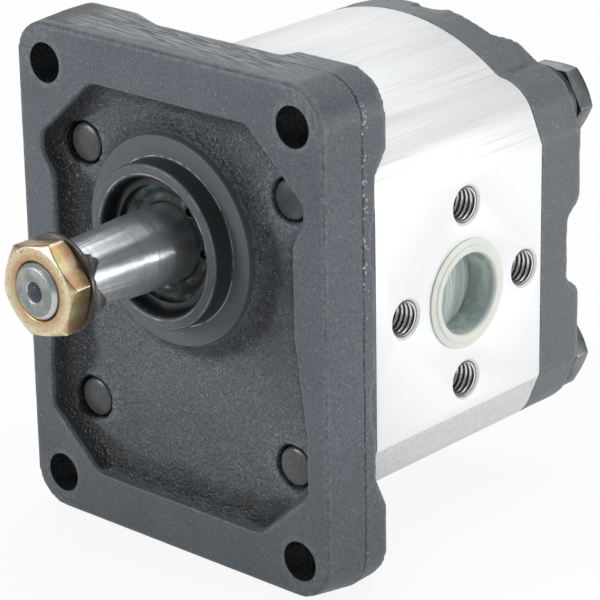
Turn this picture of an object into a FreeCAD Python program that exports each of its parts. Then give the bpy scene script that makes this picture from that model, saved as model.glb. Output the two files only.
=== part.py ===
import FreeCAD, Part
import math
import os

# Frame: the origin is the centre of the pilot on the mounting face of the flange.
# The shaft points to -Y, the housing and the cover lie towards +Y, +Z is up.
# All sizes are in millimetres.

V = FreeCAD.Vector

# Driving dimensions: gears and shafts
gear_centre_distance = 31.0
gear_teeth = 12
gear_width = 17.0
pressure_angle = 25.0
tooth_thinning = 0.06
tip_clearance = 0.05
journal_diameter = 18.0
journal_clearance = 0.03
journal_end_chamfer = 0.8
shaft_end_gap = 1.5
seal_land_diameter = 17.0
seal_land_end_y = 8.5
taper_start_y = -11.0
taper_ratio = 8.0
shaft_tip_y = -39.15
thread_diameter = 12.0
thread_chamfer = 0.9
centre_hole_diameter = 4.2
centre_hole_depth = 7.0
centre_hole_mouth_diameter = 4.9

# Nut, tab washer and key on the shaft end
nut_across_flats = 19.0
nut_height = 5.8
nut_back_y = -32.4
nut_turn = 12.6
nut_chamfer_angle = 30.0
nut_chamfer_share = 0.975
nut_mouth = 0.4
thread_play = 0.05
tab_washer_diameter = 21.2
tab_washer_thickness = 1.0
tab_washer_bore = 12.5
tab_turn = 13.0
tab_reach = 2.7
tab_root_half_width = 6.0
tab_tip_half_width = 4.4
tab_tip_flat = 0.8
tab_thickness = 1.0
tab_bend = 0.5
tab_plane_offset = 10.8
tab_notch_centre = 0.5
key_width = 3.2
key_diameter = 13.0
key_proud = 1.4
key_centre_y = -20.5
key_turn = 207.0
key_play = 0.02

# Flange casting
flange_width = 90.0
flange_height = 114.8
flange_thickness = 18.0
# Clockwise from the top left corner, seen with the shaft pointing at the viewer
flange_corner_radii = [7.8, 9.6, 9.8, 8.8]
parting_y = 10.7
flange_offset_z = -0.3
# How far the outline stands off the nominal one: at y, side at the top and at the bottom, top, bottom
flange_sections = [
    (0.0, -1.0, -1.0, -0.3, -1.3),
    (parting_y, 0.0, 0.0, 0.0, 0.0),
    (flange_thickness, 0.15, -0.35, 0.1, 0.0),
]
mount_pitch_x = 71.5
mount_pitch_z = 96.0
mount_hole_diameter = 9.0
pilot_diameter = 36.47
pilot_length = 5.0
pilot_chamfer = 0.6
collar_diameter = 46.2
pocket_depth = 5.1
# Right half of the pocket outline from the top down: x, z, corner radius
pocket_outline = [
    (22.5, 30.6, 5.0),
    (38.0, 16.5, 3.0),
    (38.0, 12.0, 2.5),
    (35.0, 7.0, 3.0),
    (35.0, -12.0, 6.0),
    (38.3, -35.0, 12.0),
    (38.3, -47.8, 3.0),
    (24.5, -60.6, 5.0),
]
# Walls that curve into the pocket floor: how far each step leans in and how deep it lies
pocket_wall = [(-0.8, -1.2), (0.0, 0.0), (0.9, 2.6), (2.2, 4.3), (4.0, pocket_depth)]
collar_wall = [(0.0, -2.0), (0.0, 0.0), (0.5, 2.2), (1.6, 3.9), (3.4, pocket_depth)]
relief_y_sides = 14.75
relief_y_top = 14.1
notch_y = 13.6
notch_tops_z = [10.3, -25.2]
notch_height = 9.8
notch_slope = 0.6
side_relief_top_z = 20.4
side_relief_bottom_z = -46.9
side_slope_top = 4.6
side_slope_bottom = 7.0
end_relief_left_x = -15.3
end_relief_right_x = 20.3
end_slope_left = 9.6
end_slope_right = 1.4

# Housing extrusion
housing_length = 55.5
housing_top_radius = 49.85
housing_pad_x = 42.0
housing_pad_half_height = 26.86
lobe_radius = 10.1
lobe_blend_radius = 5.0
port_y = 47.7
port_bore_diameter = 20.0
port_bolt_circle = 40.0
port_thread_diameter = 8.0
port_thread_depth = 12.0
port_thread_mouth = 0.65

# Rear cover casting
cover_thickness = 14.5
cover_relief_depth = 4.3
cover_edge_round = 0.6
cover_level_round = 0.6
cover_channel_half_width = 20.0
cover_slot_half_height = 7.3
# Walls of the relief: how far each step of the wall stands out and how high it ends
cover_wall = [(0.0, 0.0), (2.4, 3.3), (4.2, 4.3)]
# Floor of the broken-off gate mark on the top edge: x and depth below the crown
scar_floor = [(-9.5, 0.9), (-1.3, 0.7), (-0.6, 1.4), (2.5, 1.45), (8.6, 0.6)]
scar_width = 4.5

# Clamp bolts and their washers
bolt_pitch = 59.7
bolt_diameter = 10.0
bolt_hole_play = 0.3
bolt_length = 85.0
bolt_tip_chamfer = 1.0
bolt_head_flats = 16.0
bolt_head_height = 6.4
bolt_chamfer_angle = 30.0
bolt_chamfer_share = 0.95
bolt_face_height = 1.2
bolt_face_diameter = 14.6
bolt_turns = [59.0, 22.0, 3.0, 41.0]
washer_thickness = 2.2
washer_outer_diameter = 18.1
washer_bore = 10.3
washer_slit = 1.2
washer_slit_lean = 1.3
washer_turns = [200.0, 155.0, 330.0, 120.0]

# Dowels between flange, housing and cover
dowel_diameter = 5.0
dowel_half_length = 5.0
dowel_offset_x = 25.5
dowel_offset_z = 7.5
dowel_play = 0.02

# Shaft seal and retaining ring in the pilot bore
seal_outer_diameter = 30.0
seal_width = 7.0
seal_case_wall = 1.0
seal_case_lip = 3.2
seal_case_play = 0.02
seal_lip_gap = 0.06
# Section of the rubber from the case round the shaft side: height over the shaft and place behind the front
seal_lip_section = [
    (2.6, 2.4),
    (1.5, 4.9),
    (0.0, 4.0),
    (0.8, 2.6),
    (0.0, 1.4),
    (0.4, 0.9),
    (2.0, 1.4),
    (3.4, 0.3),
]
seal_web_front = 0.3
seal_web_back = 2.2
garter_ring_height = 2.31
garter_ring_place = 4.3
ring_thickness = 1.2
ring_front_y = -2.0
ring_groove_diameter = 31.4
ring_body_width = 2.7
ring_lug_radius = 1.9
ring_hole_diameter = 2.0
ring_hole_circle_radius = 12.0
ring_gap_angle = 24.5
ring_hole_half_angle = 22.5
ring_opening_half_angle = 17.5
bore_mouth_diameter = 31.6
garter_wire_diameter = 0.9
flange_bore_play = 0.75

# Bearing blocks, bushes and the seals round the gear chamber
block_play = 0.03
block_gear_gap = 0.05
block_cover_gap = 0.1
bush_wall = 1.0
bush_play = 0.02
body_seal_radius = 20.6
body_seal_width = 2.0
body_seal_height = 1.7
balance_seal_radius = 15.9
balance_seal_width = 1.6
balance_seal_height = 1.8
backup_ring_radius = 14.2
backup_ring_width = 1.2
groove_play = 0.05

# Dust plugs in the ports
plug_rim_diameter = 24.5
plug_rim_thickness = 0.9
plug_rim_edge = 0.4
plug_sleeve_length = 9.0
plug_sleeve_wall = 0.9
plug_lead_in_length = 1.0
plug_lead_in_depth = 0.5
plug_floor_thickness = 0.9
plug_floor_recess = 6.2
plug_play = 0.05

# Derived places that several pieces share
centre_z = -gear_centre_distance / 2
axis_z = [0.0, -gear_centre_distance]
housing_front_y = flange_thickness
housing_back_y = housing_front_y + housing_length
cover_back_y = housing_back_y + cover_thickness
cover_level_y = cover_back_y - cover_relief_depth
gear_front_y = port_y - gear_width / 2
gear_back_y = port_y + gear_width / 2
gear_module = gear_centre_distance / gear_teeth
gear_tip_radius = gear_centre_distance / 2 + gear_module
chamber_radius = gear_tip_radius + tip_clearance
block_radius = chamber_radius - block_play
bush_outer_radius = journal_diameter / 2 + journal_clearance + bush_wall
bush_bore_radius = journal_diameter / 2 + journal_clearance
seal_front_y = ring_front_y + ring_thickness
seal_back_y = seal_front_y + seal_width
seal_seat_radius = seal_outer_diameter / 2
taper_end_y = nut_back_y + tab_washer_thickness
taper_end_radius = seal_land_diameter / 2 - (taper_start_y - taper_end_y) / (2 * taper_ratio)
bolt_seat_y = cover_back_y + washer_thickness
bolt_tip_y = bolt_seat_y - bolt_length
bolt_hole_radius = bolt_diameter / 2 + bolt_hole_play
bolt_places = [
    (sx * bolt_pitch / 2, centre_z + sz * bolt_pitch / 2)
    for sz in (1, -1)
    for sx in (1, -1)
]
dowel_places = [
    (dowel_offset_x, centre_z + dowel_offset_z),
    (-dowel_offset_x, centre_z - dowel_offset_z),
]
mount_places = [
    (sx * mount_pitch_x / 2, centre_z + sz * mount_pitch_z / 2)
    for sx in (1, -1)
    for sz in (1, -1)
]
# How far a cutting tool runs past the face that it cuts
overrun = 5.0


def rod(radius, y0, y1, x=0.0, z=0.0):
    """Cylinder along +Y from y0 to y1."""
    return Part.makeCylinder(radius, y1 - y0, V(x, y0, z), V(0, 1, 0))


def side_rod(radius, x0, x1, y, z):
    """Cylinder along +X from x0 to x1."""
    return Part.makeCylinder(radius, x1 - x0, V(x0, y, z), V(1, 0, 0))


def side_cone(r0, r1, x0, x1, y, z):
    """Cone along +X, with radius r0 at x0 and r1 at x1."""
    return Part.makeCone(r0, r1, x1 - x0, V(x0, y, z), V(1, 0, 0))


def turned(profile, x=0.0, z=0.0):
    """Solid of revolution about the Y axis, moved to (x, z); profile holds (radius, y) points."""
    points = [V(r, y, 0) for r, y in profile]
    face = Part.Face(Part.makePolygon(points + points[:1]))
    solid = face.revolve(V(0, 0, 0), V(0, 1, 0), 360)
    solid.translate(V(x, 0, z))
    return solid


def turned_on_x(profile, y, z):
    """Solid of revolution about an axis along +X through (y, z); profile holds (radius, x) points."""
    points = [V(x, r, 0) for r, x in profile]
    face = Part.Face(Part.makePolygon(points + points[:1]))
    solid = face.revolve(V(0, 0, 0), V(1, 0, 0), 360)
    solid.translate(V(0, y, z))
    return solid


def prism(wire, length):
    """Extrudes a closed wire that lies in an XZ plane along +Y."""
    return Part.Face(wire).extrude(V(0, length, 0))


def slab(points, direction):
    """Extrudes a closed polygon of 3-D points along a direction."""
    corners = [V(*p) for p in points]
    return Part.Face(Part.makePolygon(corners + corners[:1])).extrude(V(*direction))


def fused(shapes):
    """Union of all shapes, with seams between coplanar faces removed."""
    first = shapes[0]
    return first.fuse(shapes[1:]).removeSplitter() if len(shapes) > 1 else first


def one_solid(shape):
    """The largest solid of a shape."""
    return max(shape.Solids, key=lambda solid: solid.Volume)


def mirrored_x(shape):
    """Mirror image in the plane x = 0."""
    return shape.mirror(V(0, 0, 0), V(1, 0, 0))


def grown(corners, distance):
    """Moves every edge of a clockwise (x, z) polygon outwards by a distance."""
    moved = []
    for here in range(len(corners)):
        before = corners[here - 1]
        at = corners[here]
        after = corners[(here + 1) % len(corners)]
        d0 = V(at[0] - before[0], 0, at[1] - before[1]).normalize()
        d1 = V(after[0] - at[0], 0, after[1] - at[1]).normalize()
        n0 = (-d0.z, d0.x)
        n1 = (-d1.z, d1.x)
        share = distance / (1 + n0[0] * n1[0] + n0[1] * n1[1])
        moved.append((at[0] + share * (n0[0] + n1[0]), at[1] + share * (n0[1] + n1[1])))
    return moved


def rounded_wire(corners, radii, y):
    """Closed wire of straight edges with an arc at every corner of an (x, z) polygon."""
    starts = []
    middles = []
    ends = []
    for here in range(len(corners)):
        at = V(corners[here][0], y, corners[here][1])
        back = V(corners[here - 1][0], y, corners[here - 1][1]) - at
        on = V(corners[(here + 1) % len(corners)][0], y, corners[(here + 1) % len(corners)][1]) - at
        back.normalize()
        on.normalize()
        half = back.getAngle(on) / 2
        reach = radii[here] / math.tan(half)
        inward = (back + on).normalize()
        starts.append(at + back * reach)
        ends.append(at + on * reach)
        middles.append(at + inward * (radii[here] / math.sin(half) - radii[here]))
    edges = []
    for here in range(len(corners)):
        edges.append(Part.Arc(starts[here], middles[here], ends[here]).toShape())
        edges.append(Part.makeLine(ends[here], starts[(here + 1) % len(corners)]))
    return Part.Wire(edges)


def housing_wire(y):
    """Outline that the housing and the cover share: round top and bottom, bolt lobes, flat sides."""
    half_pitch = bolt_pitch / 2
    lobe = V(half_pitch, 0, half_pitch)
    reach = lobe.Length
    to_blend = housing_top_radius + lobe_blend_radius
    lobe_to_blend = lobe_radius + lobe_blend_radius
    along = (to_blend ** 2 - lobe_to_blend ** 2 + reach ** 2) / (2 * reach)
    across = math.sqrt(to_blend ** 2 - along ** 2)
    unit = V(lobe.x / reach, 0, lobe.z / reach)
    blend = unit * along + V(-unit.z, 0, unit.x) * across
    top_end = blend * (housing_top_radius / to_blend)
    lobe_start = lobe + (blend - lobe) * (lobe_radius / lobe_to_blend)
    blend_middle = blend + ((top_end + lobe_start) * 0.5 - blend).normalize() * lobe_blend_radius
    pad = V(housing_pad_x, 0, housing_pad_half_height)
    to_lobe = lobe - pad
    swing = math.asin(lobe_radius / to_lobe.Length)
    heading = math.atan2(to_lobe.z, to_lobe.x) - swing
    tangent_length = math.sqrt(to_lobe.Length ** 2 - lobe_radius ** 2)
    lobe_end = pad + V(math.cos(heading), 0, math.sin(heading)) * tangent_length
    start_angle = math.atan2(lobe_start.z - lobe.z, lobe_start.x - lobe.x)
    end_angle = math.atan2(lobe_end.z - lobe.z, lobe_end.x - lobe.x)
    middle_angle = (start_angle + end_angle) / 2
    lobe_middle = lobe + V(math.cos(middle_angle), 0, math.sin(middle_angle)) * lobe_radius

    def put(point, sx, sz):
        return V(sx * point.x, y, centre_z + sz * point.z)

    edges = []
    for sx, sz in ((1, 1), (1, -1), (-1, -1), (-1, 1)):
        edges.append(Part.Arc(put(top_end, sx, sz), put(blend_middle, sx, sz), put(lobe_start, sx, sz)))
        edges.append(Part.Arc(put(lobe_start, sx, sz), put(lobe_middle, sx, sz), put(lobe_end, sx, sz)))
        edges.append(Part.LineSegment(put(lobe_end, sx, sz), put(pad, sx, sz)))
    for sx in (1, -1):
        edges.append(Part.LineSegment(put(pad, sx, 1), put(pad, sx, -1)))
    crown = V(0, 0, housing_top_radius)
    for sz in (1, -1):
        edges.append(Part.Arc(put(top_end, -1, sz), put(crown, 1, sz), put(top_end, 1, sz)))
    ordered = Part.__sortEdges__([edge.toShape() for edge in edges])
    return Part.Wire(ordered)


def eight(radius, y0, y1):
    """Two cylinders of one radius on the two gear axes."""
    return rod(radius, y0, y1, 0, axis_z[0]).fuse(rod(radius, y0, y1, 0, axis_z[1]))


def racetrack(radius, y0, y1):
    """Stadium round both gear axes."""
    middle = Part.makeBox(2 * radius, y1 - y0, gear_centre_distance, V(-radius, y0, axis_z[1]))
    return fused([eight(radius, y0, y1), middle])


def gear_outline(axis, first_tooth_angle):
    """Wire of an involute gear at y = 0 about (0, axis), with one tooth at the given angle."""
    pitch_radius = gear_centre_distance / 2
    base_radius = pitch_radius * math.cos(math.radians(pressure_angle))
    root_radius = pitch_radius - 1.25 * gear_module
    at_pitch = math.tan(math.radians(pressure_angle)) - math.radians(pressure_angle)
    half_tooth = math.pi / (2 * gear_teeth) - tooth_thinning / (2 * pitch_radius) + at_pitch
    roll_end = math.sqrt((gear_tip_radius / base_radius) ** 2 - 1)
    steps = 8

    def polar(radius, angle):
        return V(radius * math.cos(angle), 0, axis + radius * math.sin(angle))

    def flank(middle, side):
        points = []
        for step in range(steps + 1):
            roll = roll_end * step / steps
            radius = base_radius * math.sqrt(1 + roll ** 2)
            angle = middle + side * (half_tooth - (roll - math.atan(roll)))
            points.append(polar(radius, angle))
        return points

    edges = []
    for tooth in range(gear_teeth):
        middle = math.radians(first_tooth_angle) + 2 * math.pi * tooth / gear_teeth
        rising = flank(middle, -1)
        falling = flank(middle, 1)
        foot_before = polar(root_radius, middle - half_tooth)
        foot_after = polar(root_radius, middle + half_tooth)
        rise = Part.BSplineCurve()
        rise.interpolate(rising)
        fall = Part.BSplineCurve()
        fall.interpolate(falling[::-1])
        next_foot = polar(root_radius, middle + 2 * math.pi / gear_teeth - half_tooth)
        valley = polar(root_radius, middle + math.pi / gear_teeth)
        edges += [
            Part.makeLine(foot_before, rising[0]),
            rise.toShape(),
            Part.Arc(rising[-1], polar(gear_tip_radius, middle), falling[-1]).toShape(),
            fall.toShape(),
            Part.makeLine(falling[0], foot_after),
            Part.Arc(foot_after, valley, next_foot).toShape(),
        ]
    return Part.Wire(edges)


def gear_blank(axis, first_tooth_angle):
    """Gear of the pair between the two bearing blocks."""
    gear = prism(gear_outline(axis, first_tooth_angle), gear_width)
    gear.translate(V(0, gear_front_y, 0))
    return gear


def flange_wire(y, side_top, side_bottom, top, bottom):
    """Outline of the flange at one height of the mould, clockwise from the top left corner."""
    x_top = flange_width / 2 + side_top
    x_bottom = flange_width / 2 + side_bottom
    z_top = centre_z + flange_offset_z + flange_height / 2 + top
    z_bottom = centre_z + flange_offset_z - flange_height / 2 - bottom
    corners = [(-x_top, z_top), (x_top, z_top), (x_bottom, z_bottom), (-x_bottom, z_bottom)]
    return rounded_wire(corners, flange_corner_radii, y)


def flange_plate():
    """Plate whose outline grows from the mounting face to the parting line."""
    wires = [flange_wire(*section) for section in flange_sections]
    front = Part.makeLoft(wires[:2], True, True)
    back = Part.makeLoft(wires[1:], True, True)
    return fused([front, back])


def pocket_corners():
    """Outline of the cast pocket on the mounting face, clockwise, as (x, z, corner radius)."""
    left = [(-x, z, radius) for x, z, radius in reversed(pocket_outline)]
    return pocket_outline + left


def pocket_tool():
    """What the pocket takes out of the plate: sloped walls that curve into the floor, collar left."""
    outline = pocket_corners()
    corners = [(x, z) for x, z, radius in outline]
    rings = []
    for inset, y in pocket_wall:
        rings.append(rounded_wire(grown(corners, -inset), [radius for x, z, radius in outline], y))
    stack = [Part.makeLoft([rings[k], rings[k + 1]], True, True) for k in range(len(rings) - 1)]
    pocket = fused(stack)
    sides = [(collar_diameter / 2 + out, y) for out, y in collar_wall]
    collar = turned([(0, sides[0][1])] + sides + [(0, pocket_depth)])
    return pocket.cut(collar)


def trapezoid(y, low, high, slope_low, slope_high):
    """Corners (y, across) of a cut that starts at y and widens towards the back face by the slopes."""
    y1 = flange_thickness + overrun
    rise = (y1 - y) / (flange_thickness - y)
    return [(y, low), (y, high), (y1, high + slope_high * rise), (y1, low - slope_low * rise)]


def side_relief(y, z_low, z_high, slope_low, slope_high):
    """Tool that lowers the back edge of the right side between two heights."""
    x0 = housing_pad_x - overrun
    length = flange_width / 2 + overrun - x0
    corners = trapezoid(y, z_low, z_high, slope_low, slope_high)
    return slab([(x0, at_y, z) for at_y, z in corners], (length, 0, 0))


def end_relief(sign):
    """Tool that lowers the back edge along the top or the bottom of the flange."""
    inner = centre_z + sign * (housing_top_radius - 2 * overrun)
    outer = centre_z + sign * (flange_height / 2 + overrun)
    corners = trapezoid(
        relief_y_top, end_relief_left_x, end_relief_right_x, end_slope_left, end_slope_right
    )
    return slab([(x, at_y, inner) for at_y, x in corners], (0, 0, outer - inner))


def flange_relief():
    """Everything that is cut from the back edge outside the seat of the housing."""
    sides = [
        side_relief(
            relief_y_sides, side_relief_bottom_z, side_relief_top_z, side_slope_bottom, side_slope_top
        )
    ]
    for top in notch_tops_z:
        sides.append(side_relief(notch_y, top - notch_height, top, notch_slope, notch_slope))
    right = fused(sides)
    seat = prism(housing_wire(notch_y - 1), flange_thickness)
    tools = [right, mirrored_x(right), end_relief(1), end_relief(-1)]
    return fused([tool.cut(seat) for tool in tools])


def front_flange():
    """Mounting flange with pilot, collar, pocket, shaft seal bore, bolt threads and dowel holes."""
    pilot_radius = pilot_diameter / 2
    pilot = turned([
        (0, 1), (pilot_radius, 1), (pilot_radius, pilot_chamfer - pilot_length),
        (pilot_radius - pilot_chamfer, -pilot_length), (0, -pilot_length)
    ])
    body = fused([flange_plate().cut(pocket_tool()), pilot])
    bore_mouth = (bore_mouth_diameter - seal_outer_diameter) / 2
    shaft_bore = turned([
        (0, -pilot_length - 1),
        (bore_mouth_diameter / 2 + 1, -pilot_length - 1),
        (seal_seat_radius, bore_mouth - pilot_length),
        (seal_seat_radius, seal_back_y),
        (journal_diameter / 2 + flange_bore_play, seal_back_y),
        (journal_diameter / 2 + flange_bore_play, flange_thickness + 1),
        (0, flange_thickness + 1),
    ])
    ring_groove = rod(ring_groove_diameter / 2, ring_front_y - groove_play, seal_front_y + groove_play)
    tools = [shaft_bore, ring_groove, flange_relief()]
    for x, z in mount_places:
        tools.append(rod(mount_hole_diameter / 2, -1, flange_thickness + 1, x, z))
    for x, z in bolt_places:
        tools.append(rod(bolt_diameter / 2 + thread_play, -1, flange_thickness + 1, x, z))
    for x, z in dowel_places:
        tools.append(dowel_hole(housing_front_y, x, z))
    return one_solid(body.cut(fused(tools)))


def dowel_hole(y, x, z):
    """Hole for one dowel, on both sides of a joint face at y."""
    half = dowel_half_length + dowel_play
    return rod(dowel_diameter / 2 + dowel_play, y - half, y + half, x, z)


def dowels(y):
    """Two dowels that straddle the joint face at y."""
    pins = []
    for x, z in dowel_places:
        pins.append(rod(dowel_diameter / 2, y - dowel_half_length, y + dowel_half_length, x, z))
    return Part.makeCompound(pins)


def seal_band(outer, inner, y0, y1):
    """Ring between two stadium outlines round the gear chamber."""
    return racetrack(outer, y0, y1).cut(racetrack(inner, y0 - 1, y1 + 1))


def body_seal(y, inward):
    """Seal in the end face of the housing at y; inward is the direction into the housing."""
    y0, y1 = sorted([y, y + inward * body_seal_height])
    half = body_seal_width / 2
    return seal_band(body_seal_radius + half, body_seal_radius - half, y0, y1)


def body_seal_groove(y, inward):
    """Groove that takes the body seal."""
    deep = body_seal_height + groove_play
    y0, y1 = sorted([y - inward, y + inward * deep])
    half = body_seal_width / 2 + groove_play
    return seal_band(body_seal_radius + half, body_seal_radius - half, y0, y1)


def port_threads(side):
    """Tools for the four threaded holes round one port, drill point and mouth chamfer included."""
    tools = []
    radius = port_thread_diameter / 2
    half_circle = port_bolt_circle / 2
    for quarter in range(4):
        angle = math.radians(90 * quarter)
        y = port_y + half_circle * math.cos(angle)
        z = centre_z + half_circle * math.sin(angle)
        face = housing_pad_x
        bottom = face - port_thread_depth
        tools.append(side_rod(radius, bottom, face + 1, y, z))
        tools.append(side_cone(0, radius, bottom - radius / 2, bottom, y, z))
        wide = radius + port_thread_mouth
        tools.append(side_cone(radius, wide + 1, face - port_thread_mouth, face + 1, y, z))
    tool = fused(tools)
    return tool if side > 0 else mirrored_x(tool)


def gear_housing():
    """Aluminium body with the gear chamber, two ports, bolt holes, dowel holes and seal grooves."""
    body = prism(housing_wire(housing_front_y), housing_length)
    tools = [
        eight(chamber_radius, housing_front_y - 1, housing_back_y + 1),
        side_rod(port_bore_diameter / 2, -housing_pad_x - 1, housing_pad_x + 1, port_y, centre_z),
        body_seal_groove(housing_front_y, 1),
        body_seal_groove(housing_back_y, -1),
        port_threads(1),
        port_threads(-1),
    ]
    for x, z in bolt_places:
        tools.append(rod(bolt_hole_radius, housing_front_y - 1, housing_back_y + 1, x, z))
    for x, z in dowel_places:
        tools.append(dowel_hole(housing_front_y, x, z))
        tools.append(dowel_hole(housing_back_y, x, z))
    for tool in tools:
        body = body.cut(tool)
    return one_solid(body)


def rounded_block(y0, y1, radius):
    """Block with the shared outline whose rear rim is rounded."""
    block = prism(housing_wire(y0), y1 - y0)
    rim = [edge for edge in block.Edges if edge.BoundBox.YMin > y1 - 0.001]
    return block.makeFillet(radius, rim)


def relief_profile(half):
    """Corners (y, across) of a symmetric relief whose walls follow the cover wall list."""
    last_out, last_up = cover_wall[-1]
    steps = cover_wall + [(last_out + overrun, last_up + overrun)]
    high = [(cover_level_y + up, half + out) for out, up in steps]
    return high + [(y, -across) for y, across in reversed(high)]


def rear_cover():
    """Iron cover: four bolt pads stand out of a cross-shaped relief on its back."""
    blank = rounded_block(housing_back_y, cover_back_y, cover_edge_round)
    high = housing_top_radius + overrun
    wide = housing_pad_x + overrun
    channel = slab(
        [(x, y, centre_z - high) for y, x in relief_profile(cover_channel_half_width)],
        (0, 0, 2 * high),
    )
    slot = slab(
        [(-wide, y, centre_z + z) for y, z in relief_profile(cover_slot_half_height)],
        (2 * wide, 0, 0),
    )
    rounding_y = cover_level_y - cover_level_round
    square = prism(housing_wire(rounding_y), cover_level_round)
    rim = square.cut(rounded_block(housing_back_y, cover_level_y, cover_level_round))
    half_x = cover_channel_half_width
    half_z = cover_slot_half_height
    upright = Part.makeBox(2 * half_x, overrun, 2 * high, V(-half_x, rounding_y, centre_z - high))
    level = Part.makeBox(2 * wide, overrun, 2 * half_z, V(-wide, rounding_y, centre_z - half_z))
    tools = [channel, slot, rim.common(upright), rim.common(level), gate_scar()]
    for x, z in bolt_places:
        tools.append(rod(bolt_hole_radius, housing_back_y - 1, cover_back_y + 1, x, z))
    for x, z in dowel_places:
        tools.append(dowel_hole(housing_back_y, x, z))
    for tool in tools:
        blank = blank.cut(tool)
    return one_solid(blank)


def gate_scar():
    """Tool for the shallow broken-off gate mark on the top edge of the cover."""
    top = centre_z + housing_top_radius
    y0 = cover_level_y - scar_width
    points = [(x, y0, top - depth) for x, depth in scar_floor]
    points += [(scar_floor[-1][0], y0, top + overrun), (scar_floor[0][0], y0, top + overrun)]
    return slab(points, (0, scar_width + overrun, 0))


def hexagon(across_flats, turn, y, x=0.0, z=0.0):
    """Hexagon wire about (x, z), with one corner at the turn angle."""
    radius = across_flats / math.sqrt(3)
    corners = []
    for side in range(7):
        angle = math.radians(turn + 60 * side)
        corners.append(V(x + radius * math.cos(angle), y, z + radius * math.sin(angle)))
    return Part.makePolygon(corners)


def chamfer_envelope(across_flats, y_tip, y_base, share, angle, both):
    """Double or single cone that breaks the corners of a hexagon."""
    flat = across_flats / 2
    corner = across_flats / math.sqrt(3) + 1
    fall = (corner - flat * share) * math.tan(math.radians(angle))
    sign = 1 if y_base > y_tip else -1
    profile = [(0, y_tip), (flat * share, y_tip), (corner, y_tip + sign * fall)]
    if both:
        profile += [(corner, y_base - sign * fall), (flat * share, y_base), (0, y_base)]
    else:
        profile += [(corner, y_base), (0, y_base)]
    return turned(profile)


def clamp_bolts():
    """Four hexagon bolts from the cover to the threads in the flange."""
    bolts = []
    radius = bolt_diameter / 2
    hex_base = bolt_seat_y + bolt_face_height
    hex_top = bolt_seat_y + bolt_head_height
    for (x, z), turn in zip(bolt_places, bolt_turns):
        shank = turned([
            (0, bolt_tip_y), (radius - bolt_tip_chamfer, bolt_tip_y), (radius, bolt_tip_y + bolt_tip_chamfer),
            (radius, bolt_seat_y), (bolt_face_diameter / 2, bolt_seat_y),
            (bolt_face_diameter / 2, hex_base + 0.5), (0, hex_base + 0.5),
        ])
        head = prism(hexagon(bolt_head_flats, turn, hex_base), hex_top - hex_base)
        head = head.common(chamfer_envelope(
            bolt_head_flats, hex_top, hex_base, bolt_chamfer_share, bolt_chamfer_angle, False
        ))
        bolt = fused([shank, head])
        bolt.translate(V(x, 0, z))
        bolts.append(one_solid(bolt))
    return Part.makeCompound(bolts)


def spring_washers():
    """One split washer under each bolt head."""
    rings = []
    outer = washer_outer_diameter / 2
    for (x, z), turn in zip(bolt_places, washer_turns):
        bore = rod(washer_bore / 2, cover_back_y - 1, bolt_seat_y + 1)
        ring = rod(outer, cover_back_y, bolt_seat_y).cut(bore)
        half = washer_slit / 2
        slit = slab([
            (0, cover_back_y - 1, -half - washer_slit_lean),
            (0, bolt_seat_y + 1, -half + washer_slit_lean),
            (0, bolt_seat_y + 1, half + washer_slit_lean),
            (0, cover_back_y - 1, half - washer_slit_lean),
        ], (outer + 1, 0, 0))
        slit.rotate(V(0, 0, 0), V(0, 1, 0), -turn)
        ring = ring.cut(slit)
        ring.translate(V(x, 0, z))
        rings.append(one_solid(ring))
    return Part.makeCompound(rings)


def drive_gear_shaft():
    """Shaft in one piece with the upper gear: journals, seal land, taper, thread and centre hole."""
    journal = journal_diameter / 2
    land = seal_land_diameter / 2
    thread = thread_diameter / 2
    edge = journal_end_chamfer
    end_y = housing_back_y - shaft_end_gap
    shaft = turned([
        (0, shaft_tip_y), (thread - thread_chamfer, shaft_tip_y), (thread, shaft_tip_y + thread_chamfer),
        (thread, taper_end_y), (taper_end_radius, taper_end_y), (land, taper_start_y),
        (land, seal_land_end_y), (journal, seal_land_end_y + edge),
        (journal, end_y - edge), (journal - edge, end_y), (0, end_y),
    ])
    shaft = fused([shaft, gear_blank(axis_z[0], -90)])
    mouth = centre_hole_mouth_diameter / 2
    bore = centre_hole_diameter / 2
    centre_hole = turned([
        (0, shaft_tip_y - 1), (mouth, shaft_tip_y - 1), (mouth, shaft_tip_y),
        (bore, shaft_tip_y + mouth - bore), (bore, shaft_tip_y + centre_hole_depth),
        (0, shaft_tip_y + centre_hole_depth + bore),
    ])
    return one_solid(shaft.cut(centre_hole).cut(key_disc(key_play)))


def key_disc(play):
    """Disc of the half-round key, grown by a play, seated so that its top stands out of the taper."""
    surface = seal_land_diameter / 2 - (taper_start_y - key_centre_y) / (2 * taper_ratio)
    radius = key_diameter / 2
    middle = surface + key_proud
    side = -key_width / 2 - play
    disc = Part.makeCylinder(radius + play, -2 * side, V(middle, key_centre_y, side))
    size = 2 * (radius + 1)
    below = Part.makeBox(size, size, size, V(middle - size, key_centre_y - size / 2, -size / 2))
    key = disc.common(below)
    key.rotate(V(0, 0, 0), V(0, 1, 0), -key_turn)
    return key


def driven_gear_shaft():
    """Lower gear with its two journals."""
    journal = journal_diameter / 2
    edge = journal_end_chamfer
    y0 = housing_front_y + shaft_end_gap
    y1 = housing_back_y - shaft_end_gap
    shaft = turned([
        (0, y0), (journal - edge, y0), (journal, y0 + edge),
        (journal, y1 - edge), (journal - edge, y1), (0, y1),
    ], 0, axis_z[1])
    first_tooth = 90 + 180 / gear_teeth
    return one_solid(fused([shaft, gear_blank(axis_z[1], first_tooth)]))


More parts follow.
